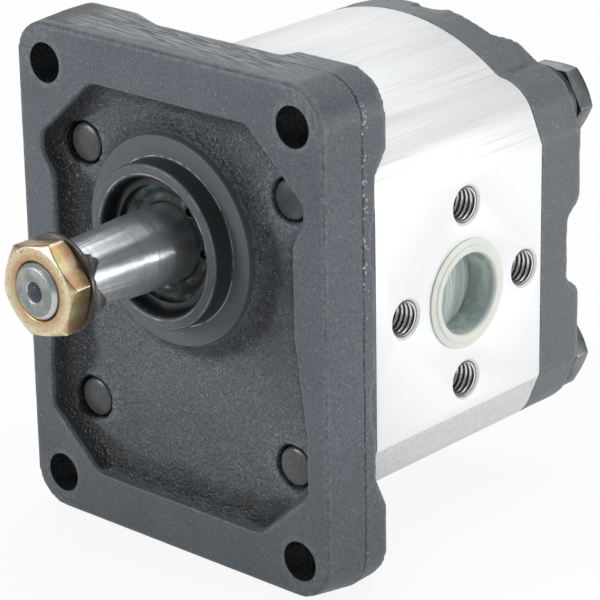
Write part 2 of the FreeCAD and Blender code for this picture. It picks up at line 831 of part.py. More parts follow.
def shaft_nut():
    """Hexagon nut on the shaft end, chamfered on its front and back."""
    front_y = nut_back_y - nut_height
    bore = thread_diameter / 2 + thread_play
    blank = prism(hexagon(nut_across_flats, nut_turn, front_y), nut_height)
    blank = blank.common(chamfer_envelope(
        nut_across_flats, front_y, nut_back_y, nut_chamfer_share, nut_chamfer_angle, True
    ))
    hole = turned([
        (0, front_y - 1), (bore + nut_mouth + 1, front_y - 1), (bore, front_y + nut_mouth),
        (bore, nut_back_y + 1), (0, nut_back_y + 1),
    ])
    return one_solid(blank.cut(hole))


def tab_washer():
    """Washer behind the nut with a notched tab bent back along the shaft."""
    y0 = nut_back_y
    y1 = nut_back_y + tab_washer_thickness
    disc = rod(tab_washer_diameter / 2, y0, y1)
    outer = tab_plane_offset
    inner = outer - tab_thickness
    root = tab_root_half_width
    tip = tab_tip_half_width
    flat = tab_tip_flat / 2
    end_y = y0 + tab_reach
    bridge = Part.makeBox(outer, tab_washer_thickness, 2 * root, V(0, y0, -root))
    tab = slab([
        (inner, y0, -root), (inner, end_y - flat, -tip - flat), (inner, end_y, -tip + flat),
        (inner, end_y, tip - flat), (inner, end_y - flat, tip + flat), (inner, y0, root),
    ], (tab_thickness, 0, 0))
    notch = slab([
        (tab_washer_diameter / 2 - tab_thickness, y0, tab_notch_centre),
        (tab_washer_diameter / 2 - tab_thickness, end_y + 0.01, flat - tip),
        (tab_washer_diameter / 2 - tab_thickness, end_y + 0.01, tip - flat),
    ], (tab_thickness + overrun, 0, 0))
    bend = slab([
        (outer - tab_bend, y0, -root - 1), (outer, y0 + tab_bend, -root - 1), (outer, y0, -root - 1),
    ], (0, 0, 2 * root + 2))
    arm = fused([bridge, tab]).cut(notch).cut(bend)
    arm.rotate(V(0, 0, 0), V(0, 1, 0), -tab_turn)
    washer = fused([disc, arm]).cut(rod(tab_washer_bore / 2, y0 - 1, y1 + 1))
    return one_solid(washer)


def seal_case():
    """Steel case of the shaft seal: a cup that opens to the front."""
    outer = seal_seat_radius - seal_case_play
    inner = outer - seal_case_wall
    return turned([
        (outer, seal_front_y), (outer, seal_back_y), (outer - seal_case_lip, seal_back_y),
        (outer - seal_case_lip, seal_back_y - seal_case_wall), (inner, seal_back_y - seal_case_wall),
        (inner, seal_front_y),
    ])


def seal_lip():
    """Rubber part of the shaft seal, with a main lip and a dust lip round the shaft."""
    case_inner = seal_seat_radius - seal_case_play - seal_case_wall
    shaft = seal_land_diameter / 2 + seal_lip_gap
    web = [(case_inner, seal_front_y + seal_web_front), (case_inner, seal_front_y + seal_web_back)]
    return turned(web + [(shaft + out, seal_front_y + back) for out, back in seal_lip_section])


def garter_spring():
    """Ring spring that presses the main lip on the shaft."""
    radius = seal_land_diameter / 2 + seal_lip_gap + garter_ring_height
    place = V(0, seal_front_y + garter_ring_place, 0)
    return Part.makeTorus(radius, garter_wire_diameter / 2, place, V(0, 1, 0))


def retaining_ring():
    """Internal retaining ring with two lugs, in the groove in front of the seal."""
    y0 = ring_front_y
    y1 = seal_front_y
    outer = ring_groove_diameter / 2 - groove_play
    ring = rod(outer, y0, y1).cut(rod(outer - ring_body_width, y0 - 1, y1 + 1))
    gap_half = math.radians(ring_opening_half_angle)
    far = outer + 2
    wedge = slab([
        (0, y0 - 1, 0), (far * math.cos(gap_half), y0 - 1, far * math.sin(gap_half)),
        (2 * far, y0 - 1, 0), (far * math.cos(gap_half), y0 - 1, -far * math.sin(gap_half)),
    ], (0, ring_thickness + 2, 0))
    lugs = []
    holes = []
    for side in (1, -1):
        angle = math.radians(side * ring_hole_half_angle)
        x = ring_hole_circle_radius * math.cos(angle)
        z = ring_hole_circle_radius * math.sin(angle)
        lugs.append(rod(ring_lug_radius, y0, y1, x, z))
        holes.append(rod(ring_hole_diameter / 2, y0 - 1, y1 + 1, x, z))
        root_x = (outer - ring_body_width / 2) * math.cos(angle)
        root_z = (outer - ring_body_width / 2) * math.sin(angle)
        lugs.append(rod(ring_lug_radius, y0, y1, root_x, root_z))
    ring = fused([ring.cut(wedge)] + lugs).common(rod(outer, y0, y1))
    for hole in holes:
        ring = ring.cut(hole)
    ring.rotate(V(0, 0, 0), V(0, 1, 0), -ring_gap_angle)
    return one_solid(ring)


def bearing_block(y_outer, y_gear):
    """Figure-eight block that carries two bushes, between a gear face and an end plate."""
    toward_gear = 1 if y_gear > y_outer else -1
    y0, y1 = sorted([y_outer + toward_gear * block_cover_gap, y_gear - toward_gear * block_gear_gap])
    block = fused([eight(block_radius, y0, y1)])
    for axis in axis_z:
        block = block.cut(rod(bush_outer_radius + bush_play, y0 - 1, y1 + 1, 0, axis))
    face = y_outer + toward_gear * block_cover_gap
    outer = balance_seal_radius + balance_seal_width / 2 + groove_play
    inner = backup_ring_radius - backup_ring_width / 2 - groove_play
    g0, g1 = sorted([face - toward_gear, face + toward_gear * (balance_seal_height + groove_play)])
    groove = eight(outer, g0, g1).cut(eight(inner, g0 - 1, g1 + 1))
    return one_solid(block.cut(groove))


def bush(y_outer, y_gear, axis):
    """Plain bearing bush pressed into a block."""
    y0, y1 = sorted([y_outer, y_gear])
    length_gap = block_cover_gap + bush_wall / 2
    return rod(bush_outer_radius, y0 + length_gap, y1 - length_gap, 0, axis).cut(
        rod(bush_bore_radius, y0, y1, 0, axis)
    )


def balance_seal(y_outer, toward_gear):
    """Figure-eight seal on the outer face of a bearing block."""
    face = y_outer + toward_gear * block_cover_gap
    y0, y1 = sorted([face, face + toward_gear * balance_seal_height])
    outer = balance_seal_radius + balance_seal_width / 2
    inner = balance_seal_radius - balance_seal_width / 2
    return one_solid(eight(outer, y0, y1).cut(eight(inner, y0 - 1, y1 + 1)))


def backup_rings(y_outer, toward_gear):
    """Stiff rings that back the balance seal, one round each shaft."""
    face = y_outer + toward_gear * block_cover_gap
    y0, y1 = sorted([face, face + toward_gear * balance_seal_height])
    rings = []
    for axis in axis_z:
        outer = rod(backup_ring_radius + backup_ring_width / 2, y0, y1, 0, axis)
        rings.append(outer.cut(rod(backup_ring_radius - backup_ring_width / 2, y0 - 1, y1 + 1, 0, axis)))
    return Part.makeCompound(rings)


def port_plug(side):
    """Dust plug: a rim on the port face, a thin sleeve in the bore and a recessed floor."""
    face = housing_pad_x
    sleeve = port_bore_diameter / 2 - plug_play
    inner = sleeve - plug_sleeve_wall
    rim = plug_rim_diameter / 2
    floor = face - plug_floor_recess
    plug = turned_on_x([
        (0, floor), (inner, floor), (inner, face + plug_rim_thickness - plug_rim_edge),
        (inner + plug_rim_edge, face + plug_rim_thickness),
        (rim - 2 * plug_rim_edge, face + plug_rim_thickness),
        (rim, face + plug_rim_edge), (rim, face), (sleeve, face),
        (sleeve, face - plug_sleeve_length + plug_lead_in_length),
        (sleeve - plug_lead_in_depth, face - plug_sleeve_length), (inner, face - plug_sleeve_length),
        (inner, floor - plug_floor_thickness), (0, floor - plug_floor_thickness),
    ], port_y, centre_z)
    return plug if side > 0 else mirrored_x(plug)


nodes = {
    "front_flange": front_flange(),
    "gear_housing": gear_housing(),
    "rear_cover": rear_cover(),
    "clamp_bolts": clamp_bolts(),
    "spring_washers": spring_washers(),
    "drive_gear_shaft": drive_gear_shaft(),
    "driven_gear_shaft": driven_gear_shaft(),
    "shaft_nut": shaft_nut(),
    "tab_washer": tab_washer(),
    "shaft_key": key_disc(0.0),
    "shaft_seal_case": seal_case(),
    "shaft_seal_lip": seal_lip(),
    "seal_garter_spring": garter_spring(),
    "retaining_ring": retaining_ring(),
    "front_bearing_block": bearing_block(housing_front_y, gear_front_y),
    "rear_bearing_block": bearing_block(housing_back_y, gear_back_y),
    "front_drive_bush": bush(housing_front_y, gear_front_y, axis_z[0]),
    "front_driven_bush": bush(housing_front_y, gear_front_y, axis_z[1]),
    "rear_drive_bush": bush(housing_back_y, gear_back_y, axis_z[0]),
    "rear_driven_bush": bush(housing_back_y, gear_back_y, axis_z[1]),
    "front_body_seal": body_seal(housing_front_y, 1),
    "rear_body_seal": body_seal(housing_back_y, -1),
    "front_balance_seal": balance_seal(housing_front_y, 1),
    "rear_balance_seal": balance_seal(housing_back_y, -1),
    "front_backup_rings": backup_rings(housing_front_y, 1),
    "rear_backup_rings": backup_rings(housing_back_y, -1),
    "front_dowels": dowels(housing_front_y),
    "rear_dowels": dowels(housing_back_y),
    "port_plug_right": port_plug(1),
    "port_plug_left": port_plug(-1),
}

os.makedirs("parts", exist_ok=True)
for name, shape in nodes.items():
    shape.exportStep("parts/" + name + ".step")
    box = shape.BoundBox
    print(
        name, len(shape.Solids), "solids, valid", shape.isValid(), "volume", round(shape.Volume, 1),
        "x", round(box.XMin, 2), round(box.XMax, 2), "y", round(box.YMin, 2), round(box.YMax, 2),
        "z", round(box.ZMin, 2), round(box.ZMax, 2),
    )
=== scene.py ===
"""Finish of a hydraulic gear motor.

Painted iron castings, an aluminium housing, a steel shaft end and port plugs. Lengths are in
millimetres unless a name says otherwise. The frame is in metres.
"""
import logging
import math
from dataclasses import dataclass, field
from enum import Enum
from typing import Callable

import bmesh
import bpy
import numpy as np
from mathutils import Matrix, Vector


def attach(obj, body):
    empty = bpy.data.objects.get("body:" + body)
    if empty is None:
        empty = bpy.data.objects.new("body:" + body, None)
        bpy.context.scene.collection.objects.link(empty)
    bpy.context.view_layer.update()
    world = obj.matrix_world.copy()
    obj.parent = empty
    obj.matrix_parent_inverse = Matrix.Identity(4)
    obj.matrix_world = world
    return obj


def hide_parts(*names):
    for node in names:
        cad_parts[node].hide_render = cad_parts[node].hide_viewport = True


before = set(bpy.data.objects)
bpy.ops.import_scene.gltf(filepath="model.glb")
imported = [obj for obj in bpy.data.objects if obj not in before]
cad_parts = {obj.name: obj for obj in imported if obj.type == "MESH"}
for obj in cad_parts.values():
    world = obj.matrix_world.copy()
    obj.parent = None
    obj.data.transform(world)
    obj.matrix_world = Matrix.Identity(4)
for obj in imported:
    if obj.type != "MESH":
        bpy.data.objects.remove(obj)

MM = 0.001
CENTRE_Z = -15.5       # middle of flange, housing and ports
PORT_Y = 47.7          # axis of both ports
PORT_FACE_X = 42.0     # port faces, at x = 42 and -42
BOLT_PITCH = 59.7      # square of the clamp bolts
FAR = 1000.0           # beyond every surface, where a finish doesn't use a band
Array = np.ndarray
Colour = tuple[float, float, float]
log = logging.getLogger("gear_motor")


class Body(Enum):
    """The bodies that the new pieces ride on; the driven gear keeps its CAD node."""

    CASING = "casing"
    DRIVE = "drive_shaft"
    RIGHT_PLUG = "right_plug"
    LEFT_PLUG = "left_plug"


class Value:
    """A number that varies over a surface, so that shader sums read as plain arithmetic."""

    def __init__(self, graph: "Graph", socket: bpy.types.NodeSocket) -> None:
        """Wraps one output socket of a graph."""
        self.graph = graph
        self.socket = socket

    def _sum(self, operation: str, first: object, second: object) -> "Value":
        """Adds one Math node.

        Args:
            operation: the Math node's operation.
            first: left operand, a number or a Value.
            second: right operand, a number or a Value.

        Returns:
            The result as a Value.
        """
        return self.graph.node("ShaderNodeMath", {"operation": operation}, {0: first, 1: second})

    def __add__(self, other: object) -> "Value":
        """self + other"""
        return self._sum("ADD", self, other)

    def __radd__(self, other: object) -> "Value":
        """other + self"""
        return self._sum("ADD", other, self)

    def __sub__(self, other: object) -> "Value":
        """self - other"""
        return self._sum("SUBTRACT", self, other)

    def __rsub__(self, other: object) -> "Value":
        """other - self"""
        return self._sum("SUBTRACT", other, self)

    def __mul__(self, other: object) -> "Value":
        """self * other"""
        return self._sum("MULTIPLY", self, other)

    def __rmul__(self, other: object) -> "Value":
        """other * self"""
        return self._sum("MULTIPLY", other, self)

    def __pow__(self, other: object) -> "Value":
        """self ** other"""
        return self._sum("POWER", self, other)

    def __abs__(self) -> "Value":
        """abs(self)"""
        return self._sum("ABSOLUTE", self, 0.0)

    def band(self, low: float, high: float) -> "Value":
        """Smooth step.

        Args:
            low: where the result is 0.
            high: where the result is 1; below low it falls instead of rising.

        Returns:
            A Value from 0 to 1.
        """
        rising = high > low
        ends = (low, high) if rising else (high, low)
        made = self.graph.node(
            "ShaderNodeMapRange",
            {"interpolation_type": "SMOOTHSTEP"},
            {"Value": self, "From Min": ends[0], "From Max": ends[1]},
        )
        return made if rising else 1.0 - made

    def stretch(self, low: float, high: float) -> "Value":
        """Takes 0..1 to low..high in a straight line."""
        return self * (high - low) + low


class Graph:
    """The node tree of one material. Patterns read Object coordinates in millimetres."""

    def __init__(self, name: str) -> None:
        """Makes an empty node material with its coordinates.

        Args:
            name: the material's name.
        """
        self.material = bpy.data.materials.new(name)
        self.material.use_nodes = True
        self.tree = self.material.node_tree
        self.tree.nodes.clear()
        self.out = self.tree.nodes.new("ShaderNodeOutputMaterial")
        place = self.node("ShaderNodeTexCoord", {}, {}, "Object")
        self.place = self.node(
            "ShaderNodeVectorMath", {"operation": "SCALE"}, {0: place, "Scale": 1.0 / MM}
        )
        self.x, self.y, self.z = (self.part(self.place, name) for name in "XYZ")

    def node(self, kind: str, settings: dict, inputs: dict, output: object = 0) -> Value:
        """Adds any node.

        Args:
            kind: the node's type.
            settings: its properties, set first; "stops" holds a ramp's (place, colour) pairs.
            inputs: socket name or number to a number, colour, vector or Value.
            output: name or number of the output socket.

        Returns:
            The output as a Value.
        """
        made = self.tree.nodes.new(kind)
        for key, setting in settings.items():
            if key == "stops":
                ramp = made.color_ramp
                while len(ramp.elements) < len(setting):
                    ramp.elements.new(0.5)
                for element, (at, colour) in zip(ramp.elements, setting):
                    element.position = at
                    element.color = (*colour, 1.0)
            else:
                setattr(made, key, setting)
        for key, given in inputs.items():
            socket = made.inputs[key]
            if isinstance(given, Value):
                self.tree.links.new(given.socket, socket)
            elif socket.type == "RGBA" and len(given) == 3:
                socket.default_value = (*given, 1.0)
            else:
                socket.default_value = given
        return Value(self, made.outputs[output])

    def part(self, vector: Value, axis: str) -> Value:
        """One component of a vector, by the letter of its axis."""
        return self.node("ShaderNodeSeparateXYZ", {}, {0: vector}, axis)

    def moved(
        self, grain: Colour, shift: Colour = (0.0, 0.0, 0.0), turn: Colour = (0.0, 0.0, 0.0)
    ) -> Value:
        """Coordinates for a pattern.

        Args:
            grain: size of one pattern cell along each axis, in mm.
            shift: offset in mm, so that two patterns differ.
            turn: turn about each axis, in degrees.

        Returns:
            A vector in pattern cells.
        """
        turned = self.node(
            "ShaderNodeMapping",
            {},
            {
                "Vector": self.place,
                "Location": shift,
                "Rotation": tuple(math.radians(angle) for angle in turn),
            },
        )
        return self.node(
            "ShaderNodeVectorMath",
            {"operation": "MULTIPLY"},
            {0: turned, 1: tuple(1.0 / size for size in grain)},
        )

    def noise(
        self, grain: object, detail: float = 3.0, rough: float = 0.55, **moved: Colour
    ) -> Value:
        """Cloudy noise from 0 to 1.

        Args:
            grain: cell size in mm, one number or one per axis.
            detail: octaves.
            rough: share that each finer octave keeps.
            moved: shift and turn, as moved() takes them.

        Returns:
            The noise as a Value.
        """
        sizes = grain if isinstance(grain, tuple) else (grain, grain, grain)
        return self._clouds(self.moved(sizes, **moved), 1.0, detail, rough)

    def noise_over(
        self, place: tuple, scale: float, detail: float = 3.0, rough: float = 0.6
    ) -> Value:
        """Cloudy noise over coordinates of its own.

        Args:
            place: three Values or numbers.
            scale: pattern cells for each unit of them.
            detail: octaves.
            rough: share that each finer octave keeps.

        Returns:
            The noise as a Value.
        """
        vector = self.node("ShaderNodeCombineXYZ", {}, dict(enumerate(place)))
        return self._clouds(vector, scale, detail, rough)

    def _clouds(self, vector: Value, scale: float, detail: float, rough: float) -> Value:
        """The Noise Texture node behind noise() and noise_over()."""
        inputs = {"Vector": vector, "Scale": scale, "Detail": detail, "Roughness": rough}
        return self.node("ShaderNodeTexNoise", {}, inputs)

    def cells(self, grain: object, **moved: Colour) -> Value:
        """Distance to the nearest of scattered points.

        Args:
            grain: cell size in mm, one number or one per axis.
            moved: shift and turn, as moved() takes them.

        Returns:
            The distance in cells.
        """
        sizes = grain if isinstance(grain, tuple) else (grain, grain, grain)
        return self.node(
            "ShaderNodeTexVoronoi",
            {},
            {"Vector": self.moved(sizes, **moved), "Scale": 1.0, "Randomness": 1.0},
            "Distance",
        )

    def mix(self, share: Value, low: object, high: object) -> Value:
        """Mixes two colours; a share of 0 gives the first, 1 the second."""
        settings = {"data_type": "RGBA", "clamp_factor": True}
        return self.node("ShaderNodeMix", settings, {0: share, 6: low, 7: high}, 2)

    def tone(self, share: Value, stops: list) -> Value:
        """Colour ramp over a Value."""
        return self.node("ShaderNodeValToRGB", {"stops": stops}, {0: share})

    def bump(self, height: Value, depth: float) -> Value:
        """Bends the normal by a height field, where a height of 1 is depth mm."""
        inputs = {"Height": height, "Distance": depth * MM, "Strength": 1.0}
        return self.node("ShaderNodeBump", {}, inputs)

    def mark(self, name: str) -> Value:
        """A number that Maker.mark wrote on the points of the piece."""
        return self.node("ShaderNodeAttribute", {"attribute_name": name}, {}, "Fac")

    def radius(self) -> Value:
        """Distance from the drive axis, in mm."""
        return (self.x ** 2.0 + self.z ** 2.0) ** 0.5

    def shader(self, **sockets: object) -> Value:
        """Principled shader.

        Args:
            sockets: numbers, colours or Values, by short names of the sockets.

        Returns:
            The shader.
        """
        names = {
            "base_color": "Base Color", "specular": "Specular IOR Level",
            "transmission": "Transmission Weight", "ior": "IOR",
        }
        inputs = {names.get(key, key.capitalize()): given for key, given in sockets.items()}
        return self.node("ShaderNodeBsdfPrincipled", {}, inputs)

    def finish(self, shader: Value) -> bpy.types.Material:
        """Links the shader to the output and returns the finished material."""
        self.tree.links.new(shader.socket, self.out.inputs["Surface"])
        return self.material


@dataclass(frozen=True)
class CastPaint:
    """Thin satin paint on sand cast iron.

    It has speckle and orange peel, painted shade in its hollows and in the pocket's grain,
    worn edges, painted glints in the pocket, a rubbed top edge, a mould parting and a darker
    foot that is painted shade. It reads the mark "relief": 0 in hollows, 0.5 on flat areas,
    1 on edges.
    """

    name: str
    dark: Colour
    light: Colour
    worn: Colour
    # Colour of pale flecks and of the painted glints.
    speck_and_glint: Colour
    roughness: float
    peel: float
    pocket_y: float = FAR
    pocket_half: tuple = (41.0, 53.0)
    pocket_fade: float = 1.5
    back_y: float = FAR
    # Painted shade in hollows weakens above this height, and is whole again beyond these sides.
    shade_top_z: float = 8.0
    shade_side_x: tuple = (22.0, 30.0)
    parting_y: float = -FAR
    parting_drift: float = 1.5
    parting_gap: Colour = (0.004, 0.004, 0.005)
    flaked_top_z: float = 33.0
    flaked_low_z: float = -6.0
    flaked_side_x: tuple = (30.0, 40.0)
    rubbed_x: tuple = (0.0, 0.0)
    rubbed_z: float = FAR
    rubbed_y: float = 0.0
    scratch: float = 0.0
    # Share of painted shade towards the bottom.
    foot: float = 0.0

    def _black(self) -> Colour:
        """Colour of the painted shade in hollows, in the pocket's grain and at the foot,
        and of the dark rubbed strokes.
        """
        return tuple(0.22 * c for c in self.dark)

    def _pocket(self, g: Graph) -> Value:
        """Where the flange's pocket is.

        Args:
            g: the graph.

        Returns:
            1 in the pocket, else 0.
        """
        half_x, half_z = self.pocket_half
        deep = (g.y - self.pocket_y).band(0.3, 2.6) * (g.y - self.back_y).band(0.2, -0.4)
        deep = deep * abs(g.x).band(half_x + self.pocket_fade, half_x)
        return deep * abs(g.z - CENTRE_Z).band(half_z + self.pocket_fade, half_z)

    def _coat(self, g: Graph, inside: Value, fine: Value, grain: Value) -> Value:
        """Paint with painted shade in hollows and in the pocket's grain, worn edges, pale dots,
        painted glints in the pocket and a darker foot that is painted shade.

        Args:
            g: the graph.
            inside: share of the pocket.
            fine: fine noise.
            grain: sand grain noise.

        Returns:
            The colour.
        """
        cloud = g.noise(16.0, 3.0, 0.5)
        tone = cloud.band(0.3, 0.7) * 0.2 + fine.band(0.38, 0.62) * 0.55
        tone = tone + grain.band(0.4, 0.62) * 0.25
        colour = g.mix(tone, self.dark, self.light)
        # Painted shade in the pocket's grain.
        colour = g.mix(inside * grain.band(0.52, 0.4) * 0.32, colour, self._black())
        relief = g.mark("relief")
        # Painted shade in hollows is weaker high up, apart from hollows near the sides.
        hollow_shade = (g.z - self.shade_top_z).band(8.0, -6.0) * 0.55 + 0.45
        hollow_shade = hollow_shade + abs(g.x).band(*self.shade_side_x) * (1.0 - hollow_shade)
        colour = g.mix(relief.band(0.47, 0.16) * hollow_shade * 0.95, colour, self._black())
        crest = relief.band(0.51, 0.7) * inside * grain.band(0.4, 0.6)
        colour = g.mix(crest * 0.25, colour, self.worn)
        wear = relief.band(0.82, 0.95) * g.noise(1.2, 4.0, 0.7).band(0.42, 0.6)
        colour = g.mix(wear * 0.3, colour, self.worn)
        dots = g.cells(0.95, shift=(3.0, 8.0, 1.0)).band(0.22, 0.1) * g.noise(2.2).band(0.48, 0.58)
        glint = g.cells(0.6, shift=(1.0, 2.0, 9.0)).band(0.34, 0.16)
        glint = glint * g.noise(1.3, shift=(9.0, 1.0, 0.0)).band(0.48, 0.58)
        # The glints are painted highlights in the pocket; the dots are pale flecks of the paint.
        colour = g.mix(dots * 0.45 + glint * inside * 0.42, colour, self.speck_and_glint)
        # Painted shade, darker towards the bottom.
        low = (g.z - CENTRE_Z).band(-14.0, -56.0)
        return g.mix(low * self.foot, colour, self._black())

    def _rub(self, g: Graph, colour: Value, rubbed: Value, strokes: Value) -> Value:
        """Adds worn and dark strokes on the rubbed edge, and hair scratches all over.

        Args:
            g: the graph.
            colour: the paint.
            rubbed: share of the rubbed edge.
            strokes: noise drawn out along x.

        Returns:
            The colour.
        """
        colour = g.mix(rubbed * 0.25, colour, self.worn)
        colour = g.mix(rubbed * strokes.band(0.5, 0.58), colour, self.worn)
        colour = g.mix(rubbed * strokes.band(0.47, 0.4), colour, self._black())
        hair = g.cells((0.28, 9.0, 7.0), turn=(24.0, 8.0, 35.0), shift=(2.0, 0.0, 3.0))
        hair = hair.band(0.05, 0.02) * g.noise(6.0).band(0.5, 0.6)
        return g.mix(hair * self.scratch, colour, self.worn)

    def _part(self, g: Graph, colour: Value) -> Value:
        """Adds the broken dark line of the mould parting and pale flakes behind it.

        Args:
            g: the graph.
            colour: the paint.

        Returns:
            The colour.
        """
        off = g.y - self.parting_y - (g.noise(1.2, 4.0, 0.7) - 0.5) * self.parting_drift
        gaps = g.noise(0.8, 3.0, 0.6, shift=(5.0, 0.0, 0.0)).band(0.36, 0.46)
        colour = g.mix(abs(off).band(0.34, 0.1) * gaps, colour, self.parting_gap)
        flakes = g.cells(0.85, shift=(1.0, 6.0, 3.0)).band(0.42, 0.3)
        patch = g.noise(2.4, 3.0, 0.6, shift=(9.0, 3.0, 2.0)).band(0.47, 0.56)
        patch = patch * abs(off - 0.75).band(1.0, 0.5)
        high = (g.z - self.flaked_top_z).band(6.0, 0.0) * (g.z - self.flaked_low_z).band(-6.0, 3.0)
        high = high * g.x.band(*self.flaked_side_x)
        return g.mix(flakes * patch * (high * 0.75 + 0.15), colour, self.speck_and_glint)

    def make(self) -> bpy.types.Material:
        """Builds the paint.

        Returns:
            The material.
        """
        g = Graph(self.name)
        fine = g.noise(0.5, 3.0, 0.6)
        grain = g.noise(0.75, 3.0, 0.6, shift=(4.0, 7.0, 2.0))
        inside = self._pocket(g)
        middle, half = self.rubbed_x
        rubbed = (abs(g.x - middle) - half).band(8.0, -2.5) * (g.z - self.rubbed_z).band(-2.6, -1.2)
        rubbed = rubbed * (g.y - self.rubbed_y).band(-0.4, 1.2)
        strokes = g.noise((9.0, 0.42, 3.0), 3.0, 0.6, turn=(0.0, 0.0, 9.0))
        colour = self._coat(g, inside, fine, grain)
        colour = self._part(g, self._rub(g, colour, rubbed, strokes))
        rough = fine.stretch(self.roughness - 0.06, self.roughness + 0.1) - inside * 0.14
        height = fine * 0.7 + grain * (inside * 10.0 + 0.3) + strokes * rubbed * 3.0
        normal = g.bump(height, self.peel)
        return g.finish(g.shader(base_color=colour, roughness=rough, normal=normal, specular=0.36))


@dataclass(frozen=True)
class TurnedPaint:
    """Thin paint on collar and pilot: faint turned rings, painted shade in the bore, a darker
    pilot side, and bright edges that are painted highlights.
    """

    name: str
    dark: Colour
    light: Colour
    # Colour of the painted highlights on the edges and of the pale dots.
    bright: Colour
    # Colour of the painted shade in the bore and of the darker pilot side.
    black: Colour = (0.006, 0.007, 0.008)
    pilot_radius: float = 18.235
    mouth_radius: float = 15.8
    front_y: float = -5.0
    # Places of the painted highlights: the collar's foot, the mouth's rim and the pilot's lip.
    foot_offset: float = 0.42
    rim_offset: float = 0.2
    lip_offset: float = 0.35

    def make(self) -> bpy.types.Material:
        """Builds the paint.

        Returns:
            The material.
        """
        g = Graph(self.name)
        radius = g.radius()
        behind = g.y - self.front_y
        fine = g.noise(0.4, 4.0, 0.6)
        rings = g.noise_over((radius, g.y, 0.0), 4.5)
        tone = fine.band(0.35, 0.7) * 0.5 + rings.band(0.4, 0.65) * 0.35
        colour = g.mix(tone, self.dark, self.light)
        # Painted shade in the bore.
        bore = (radius - self.mouth_radius).band(0.35, 0.05) * behind.band(0.1, 0.5)
        colour = g.mix(bore, colour, self.black)
        side = abs(radius - self.pilot_radius).band(0.3, 0.1) * behind.band(0.3, 0.55)
        colour = g.mix(side * 0.72, colour, self.black)
        # The bright edges are painted highlights; they come and go round the part.
        turn = g.noise(5.0, 3.0, 0.6, shift=(3.0, 0.0, 1.0))
        foot = abs(radius - self.pilot_radius - self.foot_offset).band(0.16, 0.05)
        foot = foot * turn.band(0.42, 0.56) * (g.y + 0.6).band(0.0, 0.4)
        colour = g.mix(foot * 0.9, colour, self.bright)
        rim = abs(radius - self.mouth_radius - self.rim_offset).band(0.2, 0.06)
        lip = abs(radius - self.pilot_radius + self.lip_offset).band(0.2, 0.06)
        edges = rim * turn.band(0.4, 0.6) * 0.6 + lip * turn.band(0.6, 0.4) * 0.5
        colour = g.mix(edges * behind.band(0.4, 0.1), colour, self.bright)
        dots = g.cells(0.8, shift=(3.0, 8.0, 1.0)).band(0.2, 0.08) * g.noise(2.2).band(0.55, 0.66)
        colour = g.mix(dots * 0.4, colour, self.bright)
        rough = rings.stretch(0.36, 0.52) + bore * 0.4
        normal = g.bump(rings * 0.6 + fine * 0.4, 0.012)
        return g.finish(g.shader(base_color=colour, roughness=rough, normal=normal, specular=0.25))


@dataclass(frozen=True)
class TurnedSteel:
    """Ground steel: fine rings, a few scratches, dull clouds, and a darker end before end_y."""

    name: str
    colour: Colour
    shade: Colour
    roughness: float
    end_y: float
    end_colour: Colour = (0.21, 0.235, 0.215)
    scratch_colour: Colour = (0.85, 0.86, 0.88)
    ring: float = 0.04
    depth: float = 0.024
    metallic: float = 0.8

    def make(self) -> bpy.types.Material:
        """Builds the steel.

        Returns:
            The material.
        """
        g = Graph(self.name)
        end = (g.y - self.end_y).band(0.05, -0.05)
        rings = g.noise_over((g.radius() * end, g.y, 0.0), 1.0 / self.ring, 1.0, 0.5)
        cloud = g.noise(4.0, 4.0, 0.6)
        scratch = g.cells((0.5, 6.0, 0.5), turn=(14.0, 9.0, 31.0)).band(0.06, 0.0)
        colour = g.mix(cloud.band(0.35, 0.7) * 0.5, self.colour, self.shade)
        colour = g.mix(rings.band(0.4, 0.7) * 0.1, colour, self.shade)
        colour = g.mix(scratch * 0.25, colour, self.scratch_colour)
        face = g.mix(cloud.band(0.4, 0.65) * 0.5, self.end_colour, self.shade)
        colour = g.mix(end, colour, face)
        rough = rings.stretch(self.roughness * 0.85, self.roughness * 1.2)
        rough = rough + scratch * 0.1 + end * 0.2
        normal = g.bump(rings * (1.0 - end), self.depth)
        return g.finish(g.shader(
            base_color=colour, metallic=self.metallic, roughness=rough, normal=normal
        ))


@dataclass(frozen=True)
class ExtrudedAluminium:
    """Bare extrusion with lengthwise die lines, a fine grain and warm tints.

    The skin is duller than the machined port faces. Below the turn of its sides it is darkest,
    which is painted shade.
    """

    name: str
    face: Colour
    skin: Colour
    line: Colour
    # Colour of the painted shade below the turn of the sides.
    under: Colour
    warm: Colour

    def make(self) -> bpy.types.Material:
        """Builds the aluminium.

        Returns:
            The material.
        """
        g = Graph(self.name)
        lines = g.noise((0.5, 45.0, 0.5), 4.0, 0.65)
        broad = g.noise((6.0, 60.0, 6.0), 3.0, 0.5)
        mottle = g.noise(1.1, 4.0, 0.65)
        machined = (abs(g.x) - PORT_FACE_X).band(-0.35, -0.15)
        low = (g.z - CENTRE_Z).band(-18.0, -27.0)
        skin = g.mix(broad.band(0.3, 0.7), self.skin, self.face)
        skin = g.mix(lines.band(0.5, 0.7) * 0.55, skin, self.line)
        warm = g.noise((9.0, 30.0, 9.0), 3.0, 0.6, shift=(5.0, 9.0, 0.0)).band(0.5, 0.62)
        skin = g.mix(warm * lines.band(0.42, 0.6) * 0.5, skin, self.warm)
        skin = g.mix(mottle.band(0.55, 0.75) * 0.2, skin, self.line)
        nick = g.cells(7.0, shift=(2.0, 1.0, 5.0)).band(0.055, 0.03)
        skin = g.mix(nick * 0.6, skin, self.line)
        # Painted shade below the turn of the sides, broken up by mottle.
        skin = g.mix(low * mottle.band(0.3, 0.7).stretch(0.55, 1.0), skin, self.under)
        milled = g.noise((30.0, 0.35, 3.0), 3.0).band(0.5, 0.8) * 0.25
        colour = g.mix(machined, skin, g.mix(milled, self.face, self.skin))
        rough = machined.stretch(0.5, 0.42)
        normal = g.bump(lines * 0.5 + mottle * 0.35 + broad * 0.3, 0.02)
        return g.finish(g.shader(
            base_color=colour, metallic=0.3, roughness=rough, normal=normal, specular=0.5
        ))


